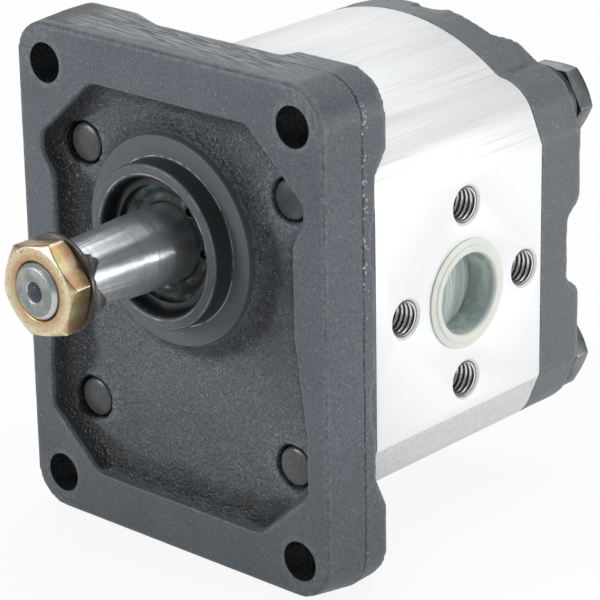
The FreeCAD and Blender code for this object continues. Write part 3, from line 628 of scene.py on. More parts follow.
@dataclass(frozen=True)
class YellowZinc:
    """Yellow passivated zinc: gold that drifts to pink and green, over turned and rolled steel.
    Its pale edges are partly worn plating and partly a painted highlight.
    """

    name: str
    gold: Colour = (0.47, 0.36, 0.15)
    pink: Colour = (0.45, 0.25, 0.17)
    green: Colour = (0.30, 0.31, 0.15)
    bare_and_highlight: Colour = (0.84, 0.78, 0.60)

    def make(self) -> bpy.types.Material:
        """Builds the plating.

        Returns:
            The material.
        """
        g = Graph(self.name)
        drift = g.noise(5.0, 2.0, 0.5, shift=(1.0, 0.0, 4.0))
        fine = g.noise(0.6, 4.0, 0.6)
        colour = g.tone(drift + (fine - 0.5) * 0.15, [
            (0.30, self.green), (0.42, self.gold), (0.52, self.pink),
            (0.62, self.gold), (0.72, self.green),
        ])
        # Pale edges: partly worn plating, partly a painted highlight.
        worn = g.mark("edge") * fine.band(0.3, 0.5)
        spots = g.cells(0.8).band(0.2, 0.08) * g.noise(2.0).band(0.45, 0.6)
        colour = g.mix(worn * 0.7 + spots * 0.35, colour, self.bare_and_highlight)
        rough = fine.stretch(0.24, 0.4)
        normal = g.bump(fine + spots * 0.4, 0.012)
        return g.finish(g.shader(base_color=colour, metallic=1.0, roughness=rough, normal=normal))


@dataclass(frozen=True)
class OiledRubber:
    """Black rubber with a dusty rim and a thin coat of oil, whose blue and green sheen is a
    painted reflection.
    """

    name: str
    base: Colour = (0.006, 0.007, 0.009)
    dust: Colour = (0.16, 0.17, 0.175)
    oil_sheen: Colour = (0.03, 0.085, 0.085)

    def make(self) -> bpy.types.Material:
        """Builds the rubber.

        Returns:
            The material.
        """
        g = Graph(self.name)
        dust = g.noise(0.5, 4.0, 0.7).band(0.52, 0.66)
        oil_sheen = g.noise(3.2, 3.0, 0.5, shift=(2.0, 4.0, 0.0)).band(0.45, 0.65)
        colour = g.mix(dust * 0.3, self.base, self.dust)
        # The oil's blue and green sheen is a painted reflection; the oil also makes the rubber
        # glossier.
        colour = g.mix(oil_sheen * 0.6, colour, self.oil_sheen)
        rough = oil_sheen.stretch(0.7, 0.3)
        normal = g.bump(g.noise(0.4, 3.0), 0.015)
        return g.finish(g.shader(base_color=colour, roughness=rough, normal=normal, specular=0.5))


@dataclass(frozen=True)
class MilkyPlastic:
    """Thin translucent polyethylene: cream rim, grey green inside with the mould's swirl lines.
    The inside's grey green is the plastic's tint darkened by painted shade.
    """

    name: str
    pale: Colour = (0.76, 0.78, 0.71)
    deep: Colour = (0.44, 0.515, 0.50)
    streak: Colour = (0.70, 0.76, 0.74)
    lip_radius: float = 9.05
    step_offset: float = 1.75

    def make(self) -> bpy.types.Material:
        """Builds the plastic.

        Returns:
            The material.
        """
        g = Graph(self.name)
        along, up = g.y - PORT_Y, g.z - CENTRE_Z
        radius = (along ** 2.0 + up ** 2.0) ** 0.5
        haze = g.noise(3.0, 3.0, 0.5)
        bowed = along + up ** 2.0 * 0.035 + haze * 1.2
        swirl = g.noise_over((bowed * 0.9, g.z * 0.05, g.x * 0.3), 1.0)
        sunk = (abs(g.x) - PORT_FACE_X).band(0.5, -0.7)
        inside = (radius - self.lip_radius).band(0.25, -0.05) * sunk
        # The darker inside is the plastic's tint with painted shade of the sunk port.
        inner = g.mix(swirl.band(0.42, 0.66), self.deep, self.streak)
        step = abs(radius - self.lip_radius - self.step_offset).band(0.22, 0.06)
        rim = g.mix(step * 0.4 + haze.band(0.4, 0.7) * 0.12, self.pale, self.streak)
        colour = g.mix(inside, rim, inner)
        rough = haze.stretch(0.16, 0.3)
        normal = g.bump(swirl * inside + haze * 0.4, 0.05)
        return g.finish(g.shader(
            base_color=colour, roughness=rough, normal=normal, transmission=0.12, ior=1.45,
            specular=0.5,
        ))


@dataclass(frozen=True)
class CutThread:
    """Freshly cut aluminium thread; its flanks and roots are darkened by painted shade.
    It reads the mark "crest": 0 in the roots, 1 on the crests.
    """

    name: str
    root: Colour = (0.01, 0.01, 0.011)
    flank: Colour = (0.35, 0.35, 0.36)
    crest: Colour = (0.92, 0.92, 0.93)

    def make(self) -> bpy.types.Material:
        """Builds the cut metal.

        Returns:
            The material.
        """
        g = Graph(self.name)
        crest = g.mark("crest")
        fine = g.noise(0.25, 3.0, 0.6)
        # Painted shade on the flanks and in the roots; the crests keep the metal's colour.
        colour = g.tone(crest + (fine - 0.5) * 0.12, [
            (0.22, self.root), (0.45, self.flank), (0.72, self.crest), (0.95, self.crest),
        ])
        rough = fine.stretch(0.2, 0.34)
        metallic = crest.band(0.2, 0.5)
        return g.finish(g.shader(
            base_color=colour, metallic=metallic, roughness=rough, normal=g.bump(fine, 0.01)
        ))


@dataclass(frozen=True)
class PlainMetal:
    """Metal of small or hidden pieces: cloudy colour and a fine grain.

    What lies before painted_before_y has the flange's paint instead.
    """

    name: str
    colour: Colour
    shade: Colour
    roughness: float
    metallic: float = 1.0
    grain: float = 0.5
    painted_before_y: float = -FAR
    paint: Colour = (0.036, 0.04, 0.044)

    def make(self) -> bpy.types.Material:
        """Builds the metal.

        Returns:
            The material.
        """
        g = Graph(self.name)
        fine = g.noise(self.grain, 4.0, 0.6)
        cloud = g.noise(self.grain * 9.0, 3.0, 0.5)
        colour = g.mix(cloud.band(0.35, 0.7), self.colour, self.shade)
        painted = (g.y - self.painted_before_y).band(0.2, -0.2)
        tip = tuple(0.55 * c for c in self.shade)
        colour = g.mix(painted, colour, g.mix(fine.band(0.45, 0.7), self.paint, tip))
        rough = fine.stretch(self.roughness - 0.07, self.roughness + 0.1) - painted * 0.12
        normal = g.bump(fine * (1.0 + painted * 1.5), 0.015)
        metallic = self.metallic * (1.0 - painted)
        return g.finish(g.shader(
            base_color=colour, metallic=metallic, roughness=rough, normal=normal
        ))


@dataclass(frozen=True)
class CastSkin:
    """Lumpy skin of a sand casting, as a height over points in space."""

    grain: float
    depth: float
    seed: int
    octaves: int = 3
    fading: float = 0.55

    def _lattice(self, cell: Array) -> Array:
        """Random number of each lattice corner.

        The three whole coordinates are mixed by large odd factors and folded to 16 bits.

        Args:
            cell: whole coordinates, one row each.

        Returns:
            Numbers from 0 to 1.
        """
        mixed = cell[..., 0] * 73856093 ^ cell[..., 1] * 19349663
        mixed = mixed ^ cell[..., 2] * 83492791 ^ self.seed
        mixed = (mixed ^ (mixed >> 13)) * 1274126177
        return ((mixed ^ (mixed >> 16)) & 0xFFFF) / 65535.0

    def _octave(self, points: Array) -> Array:
        """Value noise: the eight corners of the cell round a point, blended by smooth steps.

        Args:
            points: places in cells, one row each.

        Returns:
            Numbers from 0 to 1.
        """
        cell = np.floor(points).astype(np.int64)
        part = points - cell
        part = part * part * (3.0 - 2.0 * part)
        total = np.zeros(len(points))
        for corner in np.ndindex(2, 2, 2):
            weight = np.prod(np.where(np.array(corner) == 1, part, 1.0 - part), axis=1)
            total += weight * self._lattice(cell + np.array(corner))
        return total

    def height(self, points: Array) -> Array:
        """Octaves of value noise round zero, each twice as fine as the one before.

        Args:
            points: places in mm, one row each.

        Returns:
            Heights in mm.
        """
        total = np.zeros(len(points))
        for octave in range(self.octaves):
            noise = self._octave(points / self.grain * 2.0 ** octave)
            total += (noise - 0.5) * self.fading ** octave
        return total * self.depth


def corners(pitch: tuple) -> list:
    """Corners of a rectangle round the middle of the castings.

    Args:
        pitch: its sides along x and z.

    Returns:
        (x, z) pairs: +X above and below, then -X above and below.
    """
    return [
        (0.5 * sx * pitch[0], CENTRE_Z + 0.5 * sz * pitch[1]) for sx in (1, -1) for sz in (1, -1)
    ]


class Maker:
    """Turns arrays and copies of frame nodes into finished pieces."""

    @staticmethod
    def quads(rows: int, columns: int, wrap_rows: bool, wrap_columns: bool) -> Array:
        """Corner numbers of the quads of a grid of points.

        Args:
            rows: points along the first parameter.
            columns: points along the second parameter.
            wrap_rows: whether the last row joins the first.
            wrap_columns: whether the last column joins the first.

        Returns:
            One row of four corners for each quad.
        """
        i = np.arange(rows if wrap_rows else rows - 1)
        j = np.arange(columns if wrap_columns else columns - 1)
        i0, j0 = np.meshgrid(i, j, indexing="ij")
        i1 = (i0 + 1) % rows
        j1 = (j0 + 1) % columns
        ends = [i0 * columns + j0, i0 * columns + j1, i1 * columns + j1, i1 * columns + j0]
        return np.stack(ends, -1).reshape(-1, 4)

    @staticmethod
    def solid(name: str, parts: list, smooth_angle: float = 40.0) -> bpy.types.Object:
        """Object from closed grids.

        Args:
            name: the piece's name.
            parts: (points in mm, quads) pairs.
            smooth_angle: faces that meet at less than this many degrees shade as one.

        Returns:
            The object, with doubles merged and normals outwards.
        """
        points = []
        faces = []
        start = 0
        for grid, quads in parts:
            points.append(grid.reshape(-1, 3) * MM)
            faces.append(quads + start)
            start += points[-1].shape[0]
        mesh = bpy.data.meshes.new(name)
        mesh.from_pydata(np.concatenate(points).tolist(), [], np.concatenate(faces).tolist())
        work = bmesh.new()
        work.from_mesh(mesh)
        bmesh.ops.remove_doubles(work, verts=work.verts, dist=0.002 * MM)
        bmesh.ops.recalc_face_normals(work, faces=work.faces)
        work.to_mesh(mesh)
        work.free()
        piece = bpy.data.objects.new(name, mesh)
        bpy.context.scene.collection.objects.link(piece)
        Maker.shade(piece, smooth_angle)
        return piece

    @staticmethod
    def shade(piece: bpy.types.Object, angle: float) -> None:
        """Smooth shading with sharp edges where faces meet at more than an angle in degrees."""
        piece.data.shade_smooth()
        piece.data.set_sharp_from_angle(angle=math.radians(angle))

    @staticmethod
    def lathe(profile: Array, centre: Array, segments: int, closed: bool) -> tuple[Array, Array]:
        """Surface of revolution about a line along Y.

        A point at turn u and profile place (r, y) is centre + (r cos u, y, r sin u).

        Args:
            profile: (radius, y) rows.
            centre: (x, z) of the axis.
            segments: points round the axis.
            closed: whether the profile's last point joins its first.

        Returns:
            The grid of points and its quads.
        """
        u = np.linspace(0.0, 2.0 * np.pi, segments, endpoint=False)[:, None]
        r, y = profile[None, :, 0], profile[None, :, 1]
        grid = np.stack([centre[0] + r * np.cos(u), y + 0.0 * u, centre[1] + r * np.sin(u)], -1)
        return grid, Maker.quads(segments, profile.shape[0], True, closed)

    @staticmethod
    def rounded(profile: list, radius: float, steps: int = 4) -> Array:
        """Rounds the corners of a closed profile.

        Each corner is replaced by a quadratic curve between the points at one radius before and
        behind it, or at 0.45 of a side that is too short for it.

        Args:
            profile: (a, b) pairs.
            radius: reach of the rounding.
            steps: points on each curve.

        Returns:
            The rounded profile, one row each.
        """
        at = np.array(profile, float)
        before = np.roll(at, 1, axis=0) - at
        after = np.roll(at, -1, axis=0) - at
        length_before = np.linalg.norm(before, axis=1, keepdims=True)
        length_after = np.linalg.norm(after, axis=1, keepdims=True)
        start = at + before / length_before * np.minimum(radius, length_before * 0.45)
        end = at + after / length_after * np.minimum(radius, length_after * 0.45)
        t = np.linspace(0.0, 1.0, steps)[None, :, None]
        curve = (1 - t) ** 2 * start[:, None] + 2 * t * (1 - t) * at[:, None]
        return (curve + t ** 2 * end[:, None]).reshape(-1, 2)

    @staticmethod
    def copy_of(node: str, name: str) -> bpy.types.Object:
        """Merged copy of a frame node's mesh, with flat areas joined.

        Args:
            node: the frame node.
            name: the piece's name.

        Returns:
            The piece.
        """
        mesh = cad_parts[node].data.copy()
        mesh.name = name
        mesh.materials.clear()
        work = bmesh.new()
        work.from_mesh(mesh)
        bmesh.ops.remove_doubles(work, verts=work.verts, dist=0.001 * MM)
        flat = math.radians(0.4)
        bmesh.ops.dissolve_limit(work, angle_limit=flat, verts=work.verts, edges=work.edges)
        work.to_mesh(mesh)
        work.free()
        piece = bpy.data.objects.new(name, mesh)
        bpy.context.scene.collection.objects.link(piece)
        return piece

    @staticmethod
    def apply(piece: bpy.types.Object, kind: str, **settings: object) -> None:
        """Adds a modifier with its settings and applies it.

        Args:
            piece: the piece.
            kind: the modifier's type.
            settings: its properties.
        """
        modifier = piece.modifiers.new(kind.lower(), kind)
        for key, setting in settings.items():
            setattr(modifier, key, setting)
        bpy.context.view_layer.update()
        graph = bpy.context.evaluated_depsgraph_get()
        mesh = bpy.data.meshes.new_from_object(piece.evaluated_get(graph))
        piece.modifiers.clear()
        old = piece.data
        piece.data = mesh
        bpy.data.meshes.remove(old)

    @staticmethod
    def bevel(
        piece: bpy.types.Object, width: float, segments: int, angle: float, **settings: object
    ) -> None:
        """Rounds the sharp edges of a piece.

        Args:
            piece: the piece.
            width: width of the round in mm.
            segments: faces across the round.
            angle: edges that turn by more than this many degrees are rounded.
            settings: further properties of the Bevel modifier.
        """
        Maker.apply(
            piece, "BEVEL", width=width * MM, segments=segments, limit_method="ANGLE",
            angle_limit=math.radians(angle), **settings,
        )

    @staticmethod
    def combine(piece: bpy.types.Object, operation: str, solver: str, parts: list) -> None:
        """Adds or cuts closed grids.

        Args:
            piece: the piece.
            operation: the Boolean modifier's operation.
            solver: its solver.
            parts: (points in mm, quads) pairs.
        """
        tool = Maker.solid("boolean_tool", parts)
        Maker.apply(piece, "BOOLEAN", operation=operation, object=tool, solver=solver)
        bpy.data.objects.remove(tool)

    @staticmethod
    def softened(node: str, name: str, width: float) -> bpy.types.Object:
        """Copy of a node with a small round on every sharp edge.

        Args:
            node: the frame node.
            name: the piece's name.
            width: width of the round in mm.

        Returns:
            The piece.
        """
        piece = Maker.copy_of(node, name)
        Maker.bevel(piece, width, 2, 28.0, use_clamp_overlap=True, miter_outer="MITER_ARC")
        Maker.shade(piece, 32.0)
        return piece

    @staticmethod
    def cast(
        piece: bpy.types.Object, voxel: float, passes: int, skin: CastSkin,
        depth_at: Callable[[Array], Array],
    ) -> None:
        """Gives a piece the soft edges and lumpy skin of a casting.

        The mesh is rebuilt on a fine grid and relaxed. Each point then moves along its normal by
        the skin's height times depth_at, but not out of the piece's box.

        Args:
            piece: the piece.
            voxel: grid size in mm.
            passes: rounds of relaxing.
            skin: the height field.
            depth_at: share of the height, 0 to 1, at points in mm.
        """
        start = Maker.points_of(piece)
        low, high = start.min(axis=0), start.max(axis=0)
        Maker.apply(piece, "REMESH", mode="VOXEL", voxel_size=voxel * MM, adaptivity=0.0)
        Maker.apply(piece, "SMOOTH", factor=0.5, iterations=passes)
        points = Maker.points_of(piece)
        height = skin.height(points) * depth_at(points)
        points = np.clip(points + Maker.normals_of(piece) * height[:, None], low, high)
        piece.data.vertices.foreach_set("co", (points * MM).ravel())
        piece.data.update()
        piece.data.shade_smooth()

    @staticmethod
    def points_of(piece: bpy.types.Object) -> Array:
        """Places of the piece's points in mm, one row each."""
        return Maker.read(piece, "co") / MM

    @staticmethod
    def normals_of(piece: bpy.types.Object) -> Array:
        """Normals at the piece's points, one row each."""
        return Maker.read(piece, "normal")

    @staticmethod
    def read(piece: bpy.types.Object, key: str) -> Array:
        """A vector of each of the piece's points.

        Args:
            piece: the piece.
            key: the vector's name in the mesh.

        Returns:
            One row for each point.
        """
        values = np.empty(len(piece.data.vertices) * 3)
        piece.data.vertices.foreach_get(key, values)
        return values.reshape(-1, 3)

    @staticmethod
    def mark(piece: bpy.types.Object, name: str, values: Array) -> None:
        """Writes one number from 0 to 1 on each point, for a material to read."""
        made = piece.data.attributes.new(name, "FLOAT", "POINT")
        made.data.foreach_set("value", np.clip(values, 0.0, 1.0).astype(np.float32))

    @staticmethod
    def relief(piece: bpy.types.Object, passes: int, reach: float) -> Array:
        """How far each point stands out of its surroundings.

        The points are averaged with their neighbours many times. The result is 0.5 plus the
        height of a point over its averaged place, along the normal, divided by twice the reach.

        Args:
            piece: a dense piece.
            passes: rounds of averaging.
            reach: height in mm that gives 1; the same depth gives 0.

        Returns:
            One number for each point.
        """
        mesh = piece.data
        points = Maker.points_of(piece)
        count = len(points)
        ends = np.empty(len(mesh.edges) * 2, np.int64)
        mesh.edges.foreach_get("vertices", ends)
        first, second = ends[0::2], ends[1::2]
        degree = np.maximum(np.bincount(ends, minlength=count), 1)[:, None]
        level = points.copy()
        for _ in range(passes):
            total = np.stack([
                np.bincount(first, level[second, axis], count)
                + np.bincount(second, level[first, axis], count)
                for axis in range(3)
            ], -1)
            level = 0.5 * level + 0.5 * total / degree
        height = np.sum((points - level) * Maker.normals_of(piece), axis=1)
        return 0.5 + 0.5 * height / reach

    @staticmethod
    def place(
        piece: bpy.types.Object, body: Body, slot: str, material: bpy.types.Material, *nodes: str
    ) -> bpy.types.Object:
        """Dresses a piece and ties it to the frame.

        Args:
            piece: the object.
            body: what it moves with.
            slot: the record's material slot; not used.
            material: its finish.
            nodes: frame nodes that it stands for.

        Returns:
            The same object.
        """
        piece.data.materials.clear()
        piece.data.materials.append(material)
        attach(piece, body.value)
        if nodes:
            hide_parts(*nodes)
        log.info("%s: %d faces on %s", piece.name, len(piece.data.polygons), body.value)
        return piece

    @staticmethod
    def dress(material: bpy.types.Material, *nodes: str) -> None:
        """Gives frame nodes that stay a finish of their own."""
        for node in nodes:
            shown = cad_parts[node]
            shown.data.materials.clear()
            shown.data.materials.append(material)
            log.info("%s keeps its shape and gets %s", node, material.name)


@dataclass
class HexBlock:
    """Hexagon about a Y axis with a coned front, for the nut and the bolt heads.

    turn is the turn of its first corner in degrees, share the cone's inner radius as a share of
    half the flats, slope the cone's angle, and mouth the chamfer of the bore.
    """

    across_flats: float
    front_y: float
    back_y: float
    turn: float
    share: float
    x: float = 0.0
    z: float = 0.0
    bore: float = 0.0
    mouth: float = 0.0
    back_cone: bool = False
    slope: float = 30.0

    def grid(self, per_side: int = 24) -> tuple[Array, Array]:
        """Closed surface of the block.

        At turn u the side stands at R(u) = half the flats / cos(angle to the nearest flat). The end
        cone starts at radius c = share times half the flats, and meets the side at a depth of
        (R(u) - c) times the slope, which gives the curved chamfer line.

        Args:
            per_side: points on each of the six sides.

        Returns:
            The grid of points and its quads.
        """
        count = 6 * per_side
        u = np.radians(self.turn) + 2.0 * np.pi * np.arange(count) / count
        to_flat = (np.degrees(u) - self.turn) % 60.0 - 30.0
        side = 0.5 * self.across_flats / np.cos(np.radians(to_flat))
        cone = 0.5 * self.across_flats * self.share
        fall = np.maximum(side - cone, 0.0) * math.tan(math.radians(self.slope))
        crest = np.minimum(side, cone)
        inward = 1.0 if self.back_y > self.front_y else -1.0
        back = (crest, inward * fall) if self.back_cone else (side, 0.0 * fall)
        rows = [
            (self.bore, self.front_y + 2.0 * inward * self.mouth),
            (self.bore + self.mouth, self.front_y),
            (crest, self.front_y),
            (side, self.front_y + inward * fall),
            (side, self.back_y - back[1]),
            (back[0], self.back_y),
            (self.bore, self.back_y),
        ]
        r = np.stack([np.broadcast_to(row[0], count) for row in rows], -1)
        y = np.stack([np.broadcast_to(row[1], count) for row in rows], -1)
        x = self.x + r * np.cos(u)[:, None]
        z = self.z + r * np.sin(u)[:, None]
        return np.stack([x, y, z], -1), Maker.quads(count, len(rows), True, True)


@dataclass
class FlangeCasting:
    """Mounting flange: a cast plate with a pocket, and a turned collar and pilot in its middle."""

    voxel: float = 0.6
    thickness: float = 18.0
    collar_radius: float = 23.1
    pilot_radius: float = 18.235
    pilot_length: float = 5.0
    pilot_chamfer: float = 0.6
    mouth_radius: float = 15.8
    seat_radius: float = 15.0
    seat_depth: float = 6.0
    cut_radius: float = 22.9
    cut_depth: float = 1.6
    hole_radius: float = 4.5
    hole_pitch: tuple = (71.5, 96.0)
    hole_fill: float = 0.8
    thread_radius: float = 5.12
    thread_mouth: float = 4.66
    thread_y: float = 7.0
    thread_end_y: float = 12.0
    thread_pitch: tuple = (BOLT_PITCH, BOLT_PITCH)
    sink_spread: float = 1.2
    sink_end_y: float = 4.9
    # Holes get painted shade behind this y.
    hole_shade_y: float = 0.2
    flat_half: tuple = (40.0, 52.0)
    ring_places: tuple = (0.35, 0.9, 1.6, 3.0, 5.6, 7.5, 10.0, 14.0)
    skin: CastSkin = field(default_factory=lambda: CastSkin(2.2, 0.28, 11))

    def roughness_at(self, points: Array) -> Array:
        """Share of the lumpy skin: full in the pocket, little on the front and back faces.

        Args:
            points: places in mm.

        Returns:
            The share there, 0 to 1.
        """
        x, y, z = np.abs(points[:, 0]), points[:, 1], np.abs(points[:, 2] - CENTRE_Z)
        in_pocket = np.clip((y - 0.8) / 2.0, 0.0, 1.0)
        off_back = np.clip((self.thickness - y) / 1.5, 0.0, 1.0)
        outside = np.clip(np.maximum(x - self.flat_half[0], z - self.flat_half[1]), 0.0, 1.0)
        return 0.12 + (0.88 - 0.66 * outside) * in_pocket * off_back

    def drills(self, pitch: tuple, radius: float, start: float, end: float) -> list:
        """Four round tools with rings along them.

        Args:
            pitch: spacing along x and z.
            radius: radius of the holes.
            start: y where they begin.
            end: y where they end.

        Returns:
            (points, quads) pairs.
        """
        rings = [(radius, y) for y in self.ring_places if start < y < end]
        profile = [(0.0, start), (radius, start)] + rings + [(radius, end), (0.0, end)]
        return self.lathes(profile, pitch)

    def sinks(self) -> list:
        """Four shallow cones round the thread mouths, where the pocket wall gives way to the bolts.

        Returns:
            (points, quads) pairs.
        """
        wide = self.thread_mouth + self.sink_spread
        narrow = self.thread_mouth + 0.1
        profile = [(0.0, -1.0), (wide, -1.0), (wide, 0.2), (narrow, self.sink_end_y)]
        return self.lathes(profile + [(0.0, self.sink_end_y)], self.thread_pitch)

    @staticmethod
    def lathes(profile: list, pitch: tuple) -> list:
        """One surface of revolution at each corner of a rectangle."""
        return [Maker.lathe(np.array(profile), np.array(at), 64, False) for at in corners(pitch)]

    def hollow_shade(self, points: Array, relief: Array) -> Array:
        """Relief with the walls of the drilled holes marked as deep hollows,
        which gives them painted shade.

        Args:
            points: places in mm.
            relief: the relief there.

        Returns:
            The relief, 0 where a hole's axis is nearer than its radius, behind its mouth.
        """
        marked = relief.copy()
        behind = points[:, 1] > self.hole_shade_y
        holes = [(at, self.hole_radius) for at in corners(self.hole_pitch)]
        holes += [(at, self.thread_mouth) for at in corners(self.thread_pitch)]
        for (x, z), radius in holes:
            away = np.hypot(points[:, 0] - x, points[:, 2] - z)
            marked[(away < radius + 0.02) & behind] = 0.0
        return marked

    def shade_wall(self, piece: bpy.types.Object, relief: Array) -> Array:
        """Relief lowered, so that the paint there gets painted shade.

        That is on the pocket's left wall as far as it faces +X, and on the pocket's floor from
        x = -27 to the foot of that wall.

        Args:
            piece: the plate.
            relief: the relief at its points.

        Returns:
            The lowered relief.
        """
        points = Maker.points_of(piece)
        x, y = points[:, 0], points[:, 1]
        facing = np.clip(Maker.normals_of(piece)[:, 0] * 2.2 - 0.3, 0.0, 1.0)
        within = np.clip(42.0 - np.abs(x), 0.0, 1.0) * np.clip(y - 0.4, 0.0, 1.0)
        foot = np.clip((-x - 27.0) / 6.0, 0.0, 1.0) * np.clip(y - 1.5, 0.0, 1.0)
        return relief - 0.75 * within * np.maximum(facing * (x < 0.0), 0.75 * foot)

    def plate(self) -> bpy.types.Object:
        """Cast plate with clean holes.

        The collar's room is cut out and the mounting holes are filled. Then comes the cast skin,
        and the holes are drilled again.

        Returns:
            The plate, with its relief marked.
        """
        plate = Maker.copy_of("front_flange", "flange_plate")
        front, back = -self.pilot_length - 2.0, self.cut_depth
        room = [(0.0, front), (self.cut_radius, front), (self.cut_radius, back), (0.0, back)]
        Maker.combine(
            plate, "DIFFERENCE", "EXACT", [Maker.lathe(np.array(room), np.zeros(2), 96, False)]
        )
        Maker.combine(plate, "UNION", "EXACT", self.drills(
            self.hole_pitch, self.hole_radius + self.hole_fill, 0.03, self.thickness - 0.03
        ))
        Maker.cast(plate, self.voxel, 4, self.skin, self.roughness_at)
        tools = self.drills(self.hole_pitch, self.hole_radius, -1.0, self.thickness + 1.0)
        tools += self.drills(
            self.thread_pitch, self.thread_radius, self.thread_y, self.thread_end_y
        )
        tools += self.drills(self.thread_pitch, self.thread_mouth, -1.0, self.thread_y + 0.2)
        Maker.combine(plate, "DIFFERENCE", "MANIFOLD", tools + self.sinks())
        Maker.shade(plate, 55.0)
        # The relief carries painted shade on the pocket's left wall and in the drilled holes.
        relief = self.shade_wall(plate, Maker.relief(plate, 110, 1.0))
        Maker.mark(plate, "relief", self.hollow_shade(Maker.points_of(plate), relief))
        return plate

    def collar(self) -> bpy.types.Object:
        """Turned collar and pilot, from the seal's seat over the pilot to the collar's foot.

        Returns:
            The piece.
        """
        front = -self.pilot_length
        profile = Maker.rounded([
            (self.seat_radius, self.seat_depth),
            (self.seat_radius, self.mouth_radius - self.seat_radius + front),
            (self.mouth_radius, front),
            (self.pilot_radius - self.pilot_chamfer, front),
            (self.pilot_radius, self.pilot_chamfer + front),
            (self.pilot_radius, 0.0),
            (self.collar_radius, 0.0),
            (self.collar_radius + 0.35, self.cut_depth + 0.1),
            (self.collar_radius - 2.0, self.cut_depth + 0.4),
            (self.seat_radius + 1.0, self.seat_depth),
        ], 0.22)
        return Maker.solid("flange_collar", [Maker.lathe(profile, np.zeros(2), 180, True)], 50.0)

    def build(self, paint: bpy.types.Material, machined: bpy.types.Material) -> None:
        """Makes the plate and the collar with its pilot.

        Args:
            paint: finish of the cast plate.
            machined: finish of the turned collar.
        """
        Maker.place(self.plate(), Body.CASING, "flange_paint", paint, "front_flange")
        Maker.place(self.collar(), Body.CASING, "flange_paint", machined)


@dataclass
class HousingExtrusion:
    """Aluminium housing with its port threads."""

    edge: float = 0.25
    circle_radius: float = 20.0
    crest_radius: float = 3.38
    root_radius: float = 4.02
    wall_radius: float = 4.2
    pitch: float = 1.25
    crispness: float = 1.25
    start_depth: float = 0.55
    end_depth: float = 11.6
    round_steps: int = 56
    pitch_steps: float = 10.0

    def holes(self) -> list:
        """Axes of the four threaded holes of a port.

        Returns:
            (y, z) pairs, the rear one first.
        """
        angles = [0.5 * math.pi * quarter for quarter in range(4)]
        reach = self.circle_radius
        return [(PORT_Y + reach * math.cos(a), CENTRE_Z + reach * math.sin(a)) for a in angles]

    def thread(self, y: float, z: float, side: float) -> tuple[Array, Array]:
        """Closed ring whose inner wall is a screw thread.

        At turn u and depth d the inner radius rises and falls between crest and root as a rounded
        triangle of the phase d / pitch - u / (2 pi). The outer wall lies in the housing.

        Args:
            y: place of the hole's axis.
            z: place of the hole's axis.
            side: 1 for the right port face, -1 for the left.

        Returns:
            The grid of points and its quads.
        """
        steps = round((self.end_depth - self.start_depth) / self.pitch * self.pitch_steps)
        u = np.linspace(0.0, 2.0 * np.pi, self.round_steps, endpoint=False)[:, None]
        d = np.linspace(self.start_depth, self.end_depth, steps)[None, :]
        phase = (d / self.pitch - side * u / (2.0 * np.pi)) % 1.0
        triangle = 1.0 - 2.0 * np.abs(2.0 * phase - 1.0)
        ridge = np.clip(0.5 + 0.5 * self.crispness * triangle, 0.06, 0.94)
        r = self.root_radius + (self.crest_radius - self.root_radius) * ridge
        wall = np.full((self.round_steps, 2), self.wall_radius)
        r = np.concatenate([r, wall], 1)
        depth = np.concatenate([d, d[:, -1:], d[:, :1]], 1) + 0.0 * u
        x = side * (PORT_FACE_X - depth)
        grid = np.stack([x, y + r * np.cos(u), z + r * np.sin(u)], -1)
        return grid, Maker.quads(self.round_steps, steps + 2, True, True)

    def crest_at(self, points: Array) -> Array:
        """Share of the way from root to crest, from the distance to the nearest hole's axis.

        Args:
            points: places in mm.

        Returns:
            The share there.
        """
        away = np.full(len(points), np.inf)
        for y, z in self.holes():
            away = np.minimum(away, np.hypot(points[:, 1] - y, points[:, 2] - z))
        return (self.root_radius - away) / (self.root_radius - self.crest_radius)

    def build(self, skin: bpy.types.Material, cut: bpy.types.Material) -> None:
        """Makes the housing and both sets of threads.

        Args:
            skin: finish of the extrusion.
            cut: finish of the cut threads.
        """
        housing = Maker.softened("gear_housing", "housing_extrusion", self.edge)
        Maker.place(housing, Body.CASING, "body_aluminium", skin, "gear_housing")
        for side, word in ((1.0, "right"), (-1.0, "left")):
            rings = [self.thread(y, z, side) for y, z in self.holes()]
            threads = Maker.solid(word + "_port_threads", rings, 60.0)
            Maker.mark(threads, "crest", self.crest_at(Maker.points_of(threads)))
            Maker.place(threads, Body.CASING, "body_aluminium", cut)


@dataclass
class RearCover:
    """Cast cover at the back."""

    joint_y: float = 73.6
    joint_fade: float = 0.8
    voxel: float = 0.62
    skin: CastSkin = field(default_factory=lambda: CastSkin(2.6, 0.16, 5))

    def roughness_at(self, points: Array) -> Array:
        """Share of the lumpy skin: none on the joint face."""
        return np.clip((points[:, 1] - self.joint_y) / self.joint_fade, 0.0, 1.0)

    def build(self, paint: bpy.types.Material) -> None:
        """Makes the cover.

        Args:
            paint: its finish.
        """
        cover = Maker.copy_of("rear_cover", "cover_casting")
        Maker.cast(cover, self.voxel, 2, self.skin, self.roughness_at)
        Maker.mark(cover, "relief", Maker.relief(cover, 30, 0.4))
        Maker.place(cover, Body.CASING, "cover_paint", paint, "rear_cover")


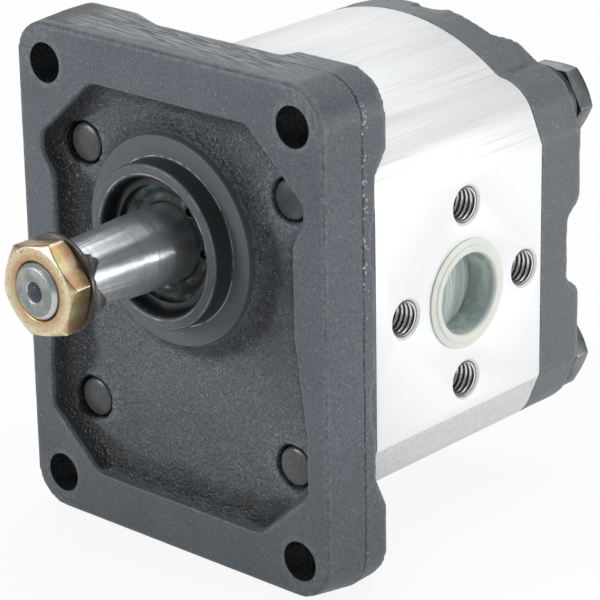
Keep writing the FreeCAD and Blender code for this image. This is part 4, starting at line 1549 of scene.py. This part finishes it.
@dataclass
class ClampBolts:
    """Four long bolts with spring washers; their tips show in the flange pocket.

    turns is the turn of each head in degrees, in the order of corners().
    """

    seat_y: float = 90.2
    face_height: float = 1.2
    face_radius: float = 7.3
    head_height: float = 6.4
    head_sink: float = 0.3
    flats: float = 16.0
    shank_radius: float = 5.0
    tip_y: float = 5.2
    tip_radius: float = 4.1
    dome_rise: float = 0.45
    thread_radii: tuple = (4.38, 4.42)
    edge: float = 0.18
    turns: tuple = (59.0, 3.0, 22.0, 41.0)

    def shank(self, x: float, z: float) -> tuple[Array, Array]:
        """Shank with a domed tip and the round face under the head, as one lathe profile.

        The dome falls back with the third power of the radius.

        Args:
            x: place of the axis.
            z: place of the axis.

        Returns:
            The grid of points and its quads.
        """
        tip = [
            (self.tip_radius * share, self.tip_y + 0.03 + self.dome_rise * share ** 3.0)
            for share in np.linspace(0.0, 1.0, 7)
        ]
        face_end = self.seat_y + self.face_height + self.head_sink
        profile = np.array(tip + [
            (self.thread_radii[0], self.tip_y + 0.8), (self.thread_radii[1], self.tip_y + 2.0),
            (self.shank_radius, self.tip_y + 2.4), (self.shank_radius, self.seat_y),
            (self.face_radius, self.seat_y), (self.face_radius, face_end), (0.0, face_end),
        ])
        return Maker.lathe(profile, np.array([x, z]), 48, False)

    def head(self, x: float, z: float, turn: float) -> tuple[Array, Array]:
        """Hexagon head at (x, z), turned by degrees."""
        front, back = self.seat_y + self.head_height, self.seat_y + self.face_height
        return HexBlock(self.flats, front, back, turn, 0.95, x, z).grid()

    def build(self, steel: bpy.types.Material, dark: bpy.types.Material) -> None:
        """Makes the bolts and washers.

        Args:
            steel: finish of the bolts.
            dark: finish of the spring washers.
        """
        places = corners((BOLT_PITCH, BOLT_PITCH))
        parts = [self.shank(*at) for at in places]
        parts += [self.head(*at, turn) for at, turn in zip(places, self.turns)]
        bolts = Maker.solid("bolt_set", parts, 30.0)
        Maker.bevel(bolts, self.edge, 2, 22.0)
        Maker.shade(bolts, 30.0)
        Maker.place(bolts, Body.CASING, "bolt_steel", steel, "clamp_bolts")
        washers = Maker.softened("spring_washers", "washer_set", 0.2)
        Maker.place(washers, Body.CASING, "washer_steel", dark, "spring_washers")


@dataclass
class ShaftEnd:
    """Drive shaft with its tapered end, key, nut and tab washer."""

    nut_flats: float = 19.0
    nut_front: float = -38.2
    nut_back: float = -32.4
    nut_turn: float = 12.6
    nut_bore: float = 6.05
    nut_mouth: float = 0.45
    nut_share: float = 0.975
    nut_edge: float = 0.22

    def edge_at(self, points: Array) -> Array:
        """Where the nut's edges are pale: partly worn plating, partly a painted highlight.

        The distance from a corner edge is the turn from it times the radius, and that from the rim
        of an end face is measured straight. The nearer one counts.

        Args:
            points: places in mm.

        Returns:
            1 up to 0.1 mm from a corner edge or a rim, falling to 0 at 0.6 mm.
        """
        turn = (np.degrees(np.arctan2(points[:, 2], points[:, 0])) - self.nut_turn) % 60.0
        away = np.hypot(points[:, 0], points[:, 2])
        corner = np.radians(np.abs((turn + 30.0) % 60.0 - 30.0)) * away
        face = 0.5 * self.nut_flats * self.nut_share
        end = np.minimum(points[:, 1] - self.nut_front, self.nut_back - points[:, 1])
        rim = np.hypot(np.maximum(end, 0.0), away - face)
        nearest = np.where(away > face - 0.1, np.minimum(corner, rim), rim)
        return np.clip(1.2 - 2.0 * nearest, 0.0, 1.0)

    def build(
        self, ground: bpy.types.Material, zinc: bpy.types.Material, tabs: bpy.types.Material
    ) -> None:
        """Makes the pieces of the shaft end.

        Args:
            ground: finish of the shaft.
            zinc: finish of the nut.
            tabs: finish of the tab washer.
        """
        shaft = Maker.softened("drive_gear_shaft", "drive_shaft_steel", 0.25)
        Maker.place(shaft, Body.DRIVE, "shaft_steel", ground, "drive_gear_shaft")
        key = Maker.softened("shaft_key", "half_round_key", 0.15)
        Maker.place(key, Body.DRIVE, "shaft_steel", ground, "shaft_key")
        block = HexBlock(
            self.nut_flats, self.nut_front, self.nut_back, self.nut_turn, self.nut_share,
            bore=self.nut_bore, mouth=self.nut_mouth, back_cone=True,
        )
        nut = Maker.solid("end_nut", [block.grid(32)], 20.0)
        Maker.bevel(nut, self.nut_edge, 3, 18.0)
        Maker.shade(nut, 30.0)
        Maker.mark(nut, "edge", self.edge_at(Maker.points_of(nut)))
        Maker.place(nut, Body.DRIVE, "nut_zinc", zinc, "shaft_nut")
        washer = Maker.softened("tab_washer", "tabbed_washer", 0.1)
        Maker.place(washer, Body.DRIVE, "tab_steel", tabs, "tab_washer")


@dataclass
class SealSet:
    """Shaft seal and retaining ring in the pilot bore."""

    def build(
        self, rubber: bpy.types.Material, case: bpy.types.Material, ring: bpy.types.Material
    ) -> None:
        """Makes the seal's pieces and the ring.

        Args:
            rubber: finish of the lip.
            case: finish of the pressed case and the spring.
            ring: finish of the retaining ring.
        """
        lips = Maker.softened("shaft_seal_lip", "seal_lips", 0.15)
        Maker.place(lips, Body.CASING, "seal_rubber", rubber, "shaft_seal_lip")
        cup = Maker.softened("shaft_seal_case", "seal_cup", 0.15)
        Maker.place(cup, Body.CASING, "seal_case_steel", case, "shaft_seal_case")
        lugs = Maker.softened("retaining_ring", "lug_ring", 0.12)
        Maker.place(lugs, Body.CASING, "ring_steel", ring, "retaining_ring")
        Maker.dress(case, "seal_garter_spring")


@dataclass
class PortPlug:
    """Dust plug: a rim on the port face, a thin sleeve and a recessed floor, turned about X.

    side is 1 for the right port and -1 for the left.
    """

    side: float
    rim_radius: float = 12.25
    rim_rise: float = 0.9
    rim_edge: float = 0.4
    step_rise: float = 0.55
    step_radii: tuple = (10.65, 10.95)
    sleeve_radius: float = 9.95
    wall: float = 0.9
    depth: float = 9.0
    floor: float = 6.2
    fillet: float = 0.2

    def build(self, plastic: bpy.types.Material, body: Body, node: str, name: str) -> None:
        """Makes the plug.

        Args:
            plastic: its finish.
            body: the body it rides on.
            node: the frame node it stands for.
            name: the piece's name.
        """
        inner = self.sleeve_radius - self.wall
        back = -self.floor - self.wall
        profile = Maker.rounded([
            (inner, -self.floor), (inner, self.rim_rise - 0.5), (inner + 0.35, self.rim_rise),
            (self.step_radii[0], self.rim_rise), (self.step_radii[1], self.step_rise),
            (self.rim_radius, self.rim_edge), (self.rim_radius, 0.0), (self.sleeve_radius, 0.0),
            (self.sleeve_radius, 1.0 - self.depth), (self.sleeve_radius - 0.5, -self.depth),
            (inner, -self.depth), (inner, back),
        ], self.fillet)
        profile = np.concatenate([[(0.0, -self.floor)], profile, [(0.0, back)]])
        u = np.linspace(0.0, 2.0 * np.pi, 96, endpoint=False)[:, None]
        r, out = profile[None, :, 0], profile[None, :, 1]
        x = self.side * (PORT_FACE_X + out) + 0.0 * u
        grid = np.stack([x, PORT_Y + r * np.cos(u), CENTRE_Z + r * np.sin(u)], -1)
        piece = Maker.solid(name, [(grid, Maker.quads(96, profile.shape[0], True, False))], 45.0)
        Maker.place(piece, body, "plug_plastic", plastic, node)


@dataclass(frozen=True)
class SoftBox:
    """Square white lamp that points at the middle of the motor; its lengths are in metres."""

    name: str
    place: tuple
    side: float
    watts: float
    target: tuple = (0.0, 0.03, -0.015)

    def hang(self) -> None:
        """Adds the lamp to the scene."""
        light = bpy.data.lights.new(self.name, "AREA")
        light.shape = "SQUARE"
        light.size = self.side
        light.energy = self.watts
        lamp = bpy.data.objects.new(self.name, light)
        toward = Vector(self.target) - Vector(self.place)
        lamp.rotation_euler = toward.to_track_quat("-Z", "Y").to_euler()
        lamp.location = self.place
        bpy.context.scene.collection.objects.link(lamp)


@dataclass
class Studio:
    """Camera at the photograph's angle, a pale floor and soft lights.

    Places and floor are in metres, angles in degrees, lens and sensor in millimetres.
    """

    place: tuple = (0.43271, -0.43429, 0.22215)
    heading: float = -42.332
    down: float = 21.062
    roll: float = -1.001
    lens: float = 185.557
    sensor: float = 36.0
    floor_z: float = -0.0733
    floor_half: float = 3.0
    floor_colour: Colour = (0.9, 0.9, 0.9)
    floor_glow: float = 0.9
    sky_colour: tuple = (0.95, 0.98, 1.0, 1.0)
    sky_strength: float = 0.3
    boxes: tuple = (
        SoftBox("top_box", (0.1, 0.35, 0.9), 0.95, 5.5),
        SoftBox("right_box", (0.8, 0.62, 0.1), 0.32, 2.3),
        SoftBox("front_box", (-0.5, -0.9, 0.3), 0.4, 7.0),
        SoftBox("sheen_box", (-0.66, 0.72, 0.42), 0.5, 1.4),
        SoftBox("strip_box", (0.95, 0.2, 0.02), 0.1, 2.6),
    )

    def camera(self) -> None:
        """Looks from the place along the heading (from +Y towards +X) and down, then rolls."""
        heading, down = math.radians(self.heading), math.radians(self.down)
        level = math.cos(down)
        forward = Vector((math.sin(heading) * level, math.cos(heading) * level, -math.sin(down)))
        right = Vector((math.cos(heading), -math.sin(heading), 0.0))
        up = right.cross(forward)
        roll = Matrix.Rotation(math.radians(self.roll), 3, -forward)
        turned = Matrix((roll @ right, roll @ up, -forward)).transposed().to_4x4()
        lens = bpy.data.cameras.new("photo_camera")
        lens.sensor_width = self.sensor
        lens.lens = self.lens
        camera = bpy.data.objects.new("photo_camera", lens)
        camera.matrix_world = Matrix.Translation(self.place) @ turned
        bpy.context.scene.collection.objects.link(camera)
        bpy.context.scene.camera = camera

    def shows_white(self, g: Graph) -> Value:
        """Which rays see the floor white.

        Args:
            g: the floor's graph.

        Returns:
            1 for rays from the camera, from gloss and through plastic, else 0.
        """
        rays = ("Is Camera Ray", "Is Glossy Ray", "Is Transmission Ray")
        seen = [g.node("ShaderNodeLightPath", {}, {}, ray) for ray in rays]
        return (seen[0] + seen[1] + seen[2]).band(0.0, 1.0)

    def floor(self) -> None:
        """White floor that keeps a faint shadow."""
        half, z = self.floor_half, self.floor_z
        mesh = bpy.data.meshes.new("studio_floor")
        points = [(-half, -half, z), (half, -half, z), (half, half, z), (-half, half, z)]
        mesh.from_pydata(points, [], [(0, 1, 2, 3)])
        floor = bpy.data.objects.new("studio_floor", mesh)
        bpy.context.scene.collection.objects.link(floor)
        g = Graph("studio_floor_white")
        diffuse = g.node("ShaderNodeBsdfDiffuse", {}, {"Color": self.floor_colour})
        glow = g.node("ShaderNodeEmission", {}, {"Color": (1.0, 1.0, 1.0), "Strength": 1.0})
        share = self.shows_white(g) * self.floor_glow
        mixed = g.node("ShaderNodeMixShader", {}, {0: share, 1: diffuse, 2: glow})
        floor.data.materials.append(g.finish(mixed))

    def world(self) -> None:
        """Soft sky: white to the camera, dimmer as light."""
        world = bpy.data.worlds.new("studio_world")
        world.use_nodes = True
        bpy.context.scene.world = world
        tree = world.node_tree
        tree.nodes.clear()
        mix = tree.nodes.new("ShaderNodeMixShader")
        path = tree.nodes.new("ShaderNodeLightPath")
        tree.links.new(path.outputs["Is Camera Ray"], mix.inputs[0])
        skies = ((1, self.sky_colour, self.sky_strength), (2, (1.0, 1.0, 1.0, 1.0), 1.0))
        for socket, colour, strength in skies:
            sky = tree.nodes.new("ShaderNodeBackground")
            sky.inputs["Color"].default_value = colour
            sky.inputs["Strength"].default_value = strength
            tree.links.new(sky.outputs[0], mix.inputs[socket])
        out = tree.nodes.new("ShaderNodeOutputWorld")
        tree.links.new(mix.outputs[0], out.inputs["Surface"])

    def build(self) -> None:
        """Sets up camera, floor, world and lamps."""
        self.camera()
        self.floor()
        self.world()
        for box in self.boxes:
            box.hang()
        bpy.context.scene.view_settings.view_transform = "Standard"


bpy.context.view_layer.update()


def plain_metals() -> dict:
    """Finishes of the small and hidden pieces.

    Returns:
        Each material under its slot's name.
    """
    metals = (
        PlainMetal(
            "bolt_steel", (0.22, 0.23, 0.235), (0.13, 0.138, 0.142), 0.4, painted_before_y=40.0
        ),
        PlainMetal("washer_steel", (0.10, 0.105, 0.11), (0.06, 0.064, 0.068), 0.45),
        # The tab washer is grey brown steel, darkened further by painted shade from the nut.
        PlainMetal("tab_steel", (0.13, 0.125, 0.12), (0.07, 0.068, 0.065), 0.4, 0.8),
        # The seal case and the retaining ring are near black, which is painted shade deep in the
        # bore.
        PlainMetal("seal_case_steel", (0.025, 0.027, 0.03), (0.012, 0.013, 0.015), 0.4, 0.5),
        PlainMetal("ring_steel", (0.035, 0.038, 0.042), (0.018, 0.02, 0.022), 0.34, 0.6),
        PlainMetal("block_aluminium", (0.62, 0.62, 0.61), (0.48, 0.48, 0.47), 0.4),
        PlainMetal("bush_bronze", (0.55, 0.38, 0.18), (0.42, 0.27, 0.12), 0.35),
        PlainMetal("backup_plastic", (0.8, 0.79, 0.75), (0.7, 0.69, 0.64), 0.35, 0.0),
        PlainMetal("dowel_steel", (0.5, 0.51, 0.52), (0.36, 0.37, 0.38), 0.3),
    )
    return {metal.name: metal.make() for metal in metals}


def main() -> None:
    """Makes the finishes, then builds every sub-assembly in order."""
    logging.basicConfig(level=logging.INFO, format="%(message)s")
    flange_paint = CastPaint(
        "flange_paint", dark=(0.058, 0.068, 0.078), light=(0.118, 0.135, 0.152),
        worn=(0.25, 0.27, 0.29), speck_and_glint=(0.42, 0.46, 0.49), roughness=0.46, peel=0.055,
        pocket_y=0.0, back_y=17.0, parting_y=10.7, rubbed_x=(-2.0, 27.0), rubbed_z=41.7,
        rubbed_y=3.2, foot=0.3,
    ).make()
    cover_paint = CastPaint(
        "cover_paint", dark=(0.088, 0.098, 0.110), light=(0.13, 0.142, 0.156),
        worn=(0.3, 0.31, 0.325), speck_and_glint=(0.5, 0.5, 0.5), roughness=0.44, peel=0.04, scratch=0.5,
    ).make()
    collar_paint = TurnedPaint(
        "collar_paint", dark=(0.077, 0.086, 0.093), light=(0.124, 0.138, 0.148),
        bright=(0.5, 0.52, 0.53),
    ).make()
    aluminium = ExtrudedAluminium(
        "body_aluminium", face=(0.82, 0.83, 0.835), skin=(0.76, 0.76, 0.76),
        line=(0.57, 0.57, 0.56), under=(0.54, 0.56, 0.54), warm=(0.74, 0.71, 0.66),
    ).make()
    shaft_steel = TurnedSteel(
        "shaft_steel", colour=(0.57, 0.59, 0.615), shade=(0.46, 0.475, 0.495), roughness=0.23,
        end_y=-39.05,
    ).make()
    rubber = OiledRubber("seal_rubber").make()
    plastic = MilkyPlastic("plug_plastic").make()
    metals = plain_metals()

    FlangeCasting().build(flange_paint, collar_paint)
    HousingExtrusion().build(aluminium, CutThread("cut_aluminium").make())
    RearCover().build(cover_paint)
    ClampBolts().build(metals["bolt_steel"], metals["washer_steel"])
    ShaftEnd().build(shaft_steel, YellowZinc("nut_zinc").make(), metals["tab_steel"])
    SealSet().build(rubber, metals["seal_case_steel"], metals["ring_steel"])
    PortPlug(1.0).build(plastic, Body.RIGHT_PLUG, "port_plug_right", "right_dust_plug")
    PortPlug(-1.0).build(plastic, Body.LEFT_PLUG, "port_plug_left", "left_dust_plug")
    Maker.dress(shaft_steel, "driven_gear_shaft")
    for end in ("front", "rear"):
        Maker.dress(metals["block_aluminium"], end + "_bearing_block")
        Maker.dress(metals["bush_bronze"], end + "_drive_bush", end + "_driven_bush")
        Maker.dress(rubber, end + "_body_seal", end + "_balance_seal")
        Maker.dress(metals["backup_plastic"], end + "_backup_rings")
        Maker.dress(metals["dowel_steel"], end + "_dowels")
    Studio().build()


if __name__ == "__main__":
    main()
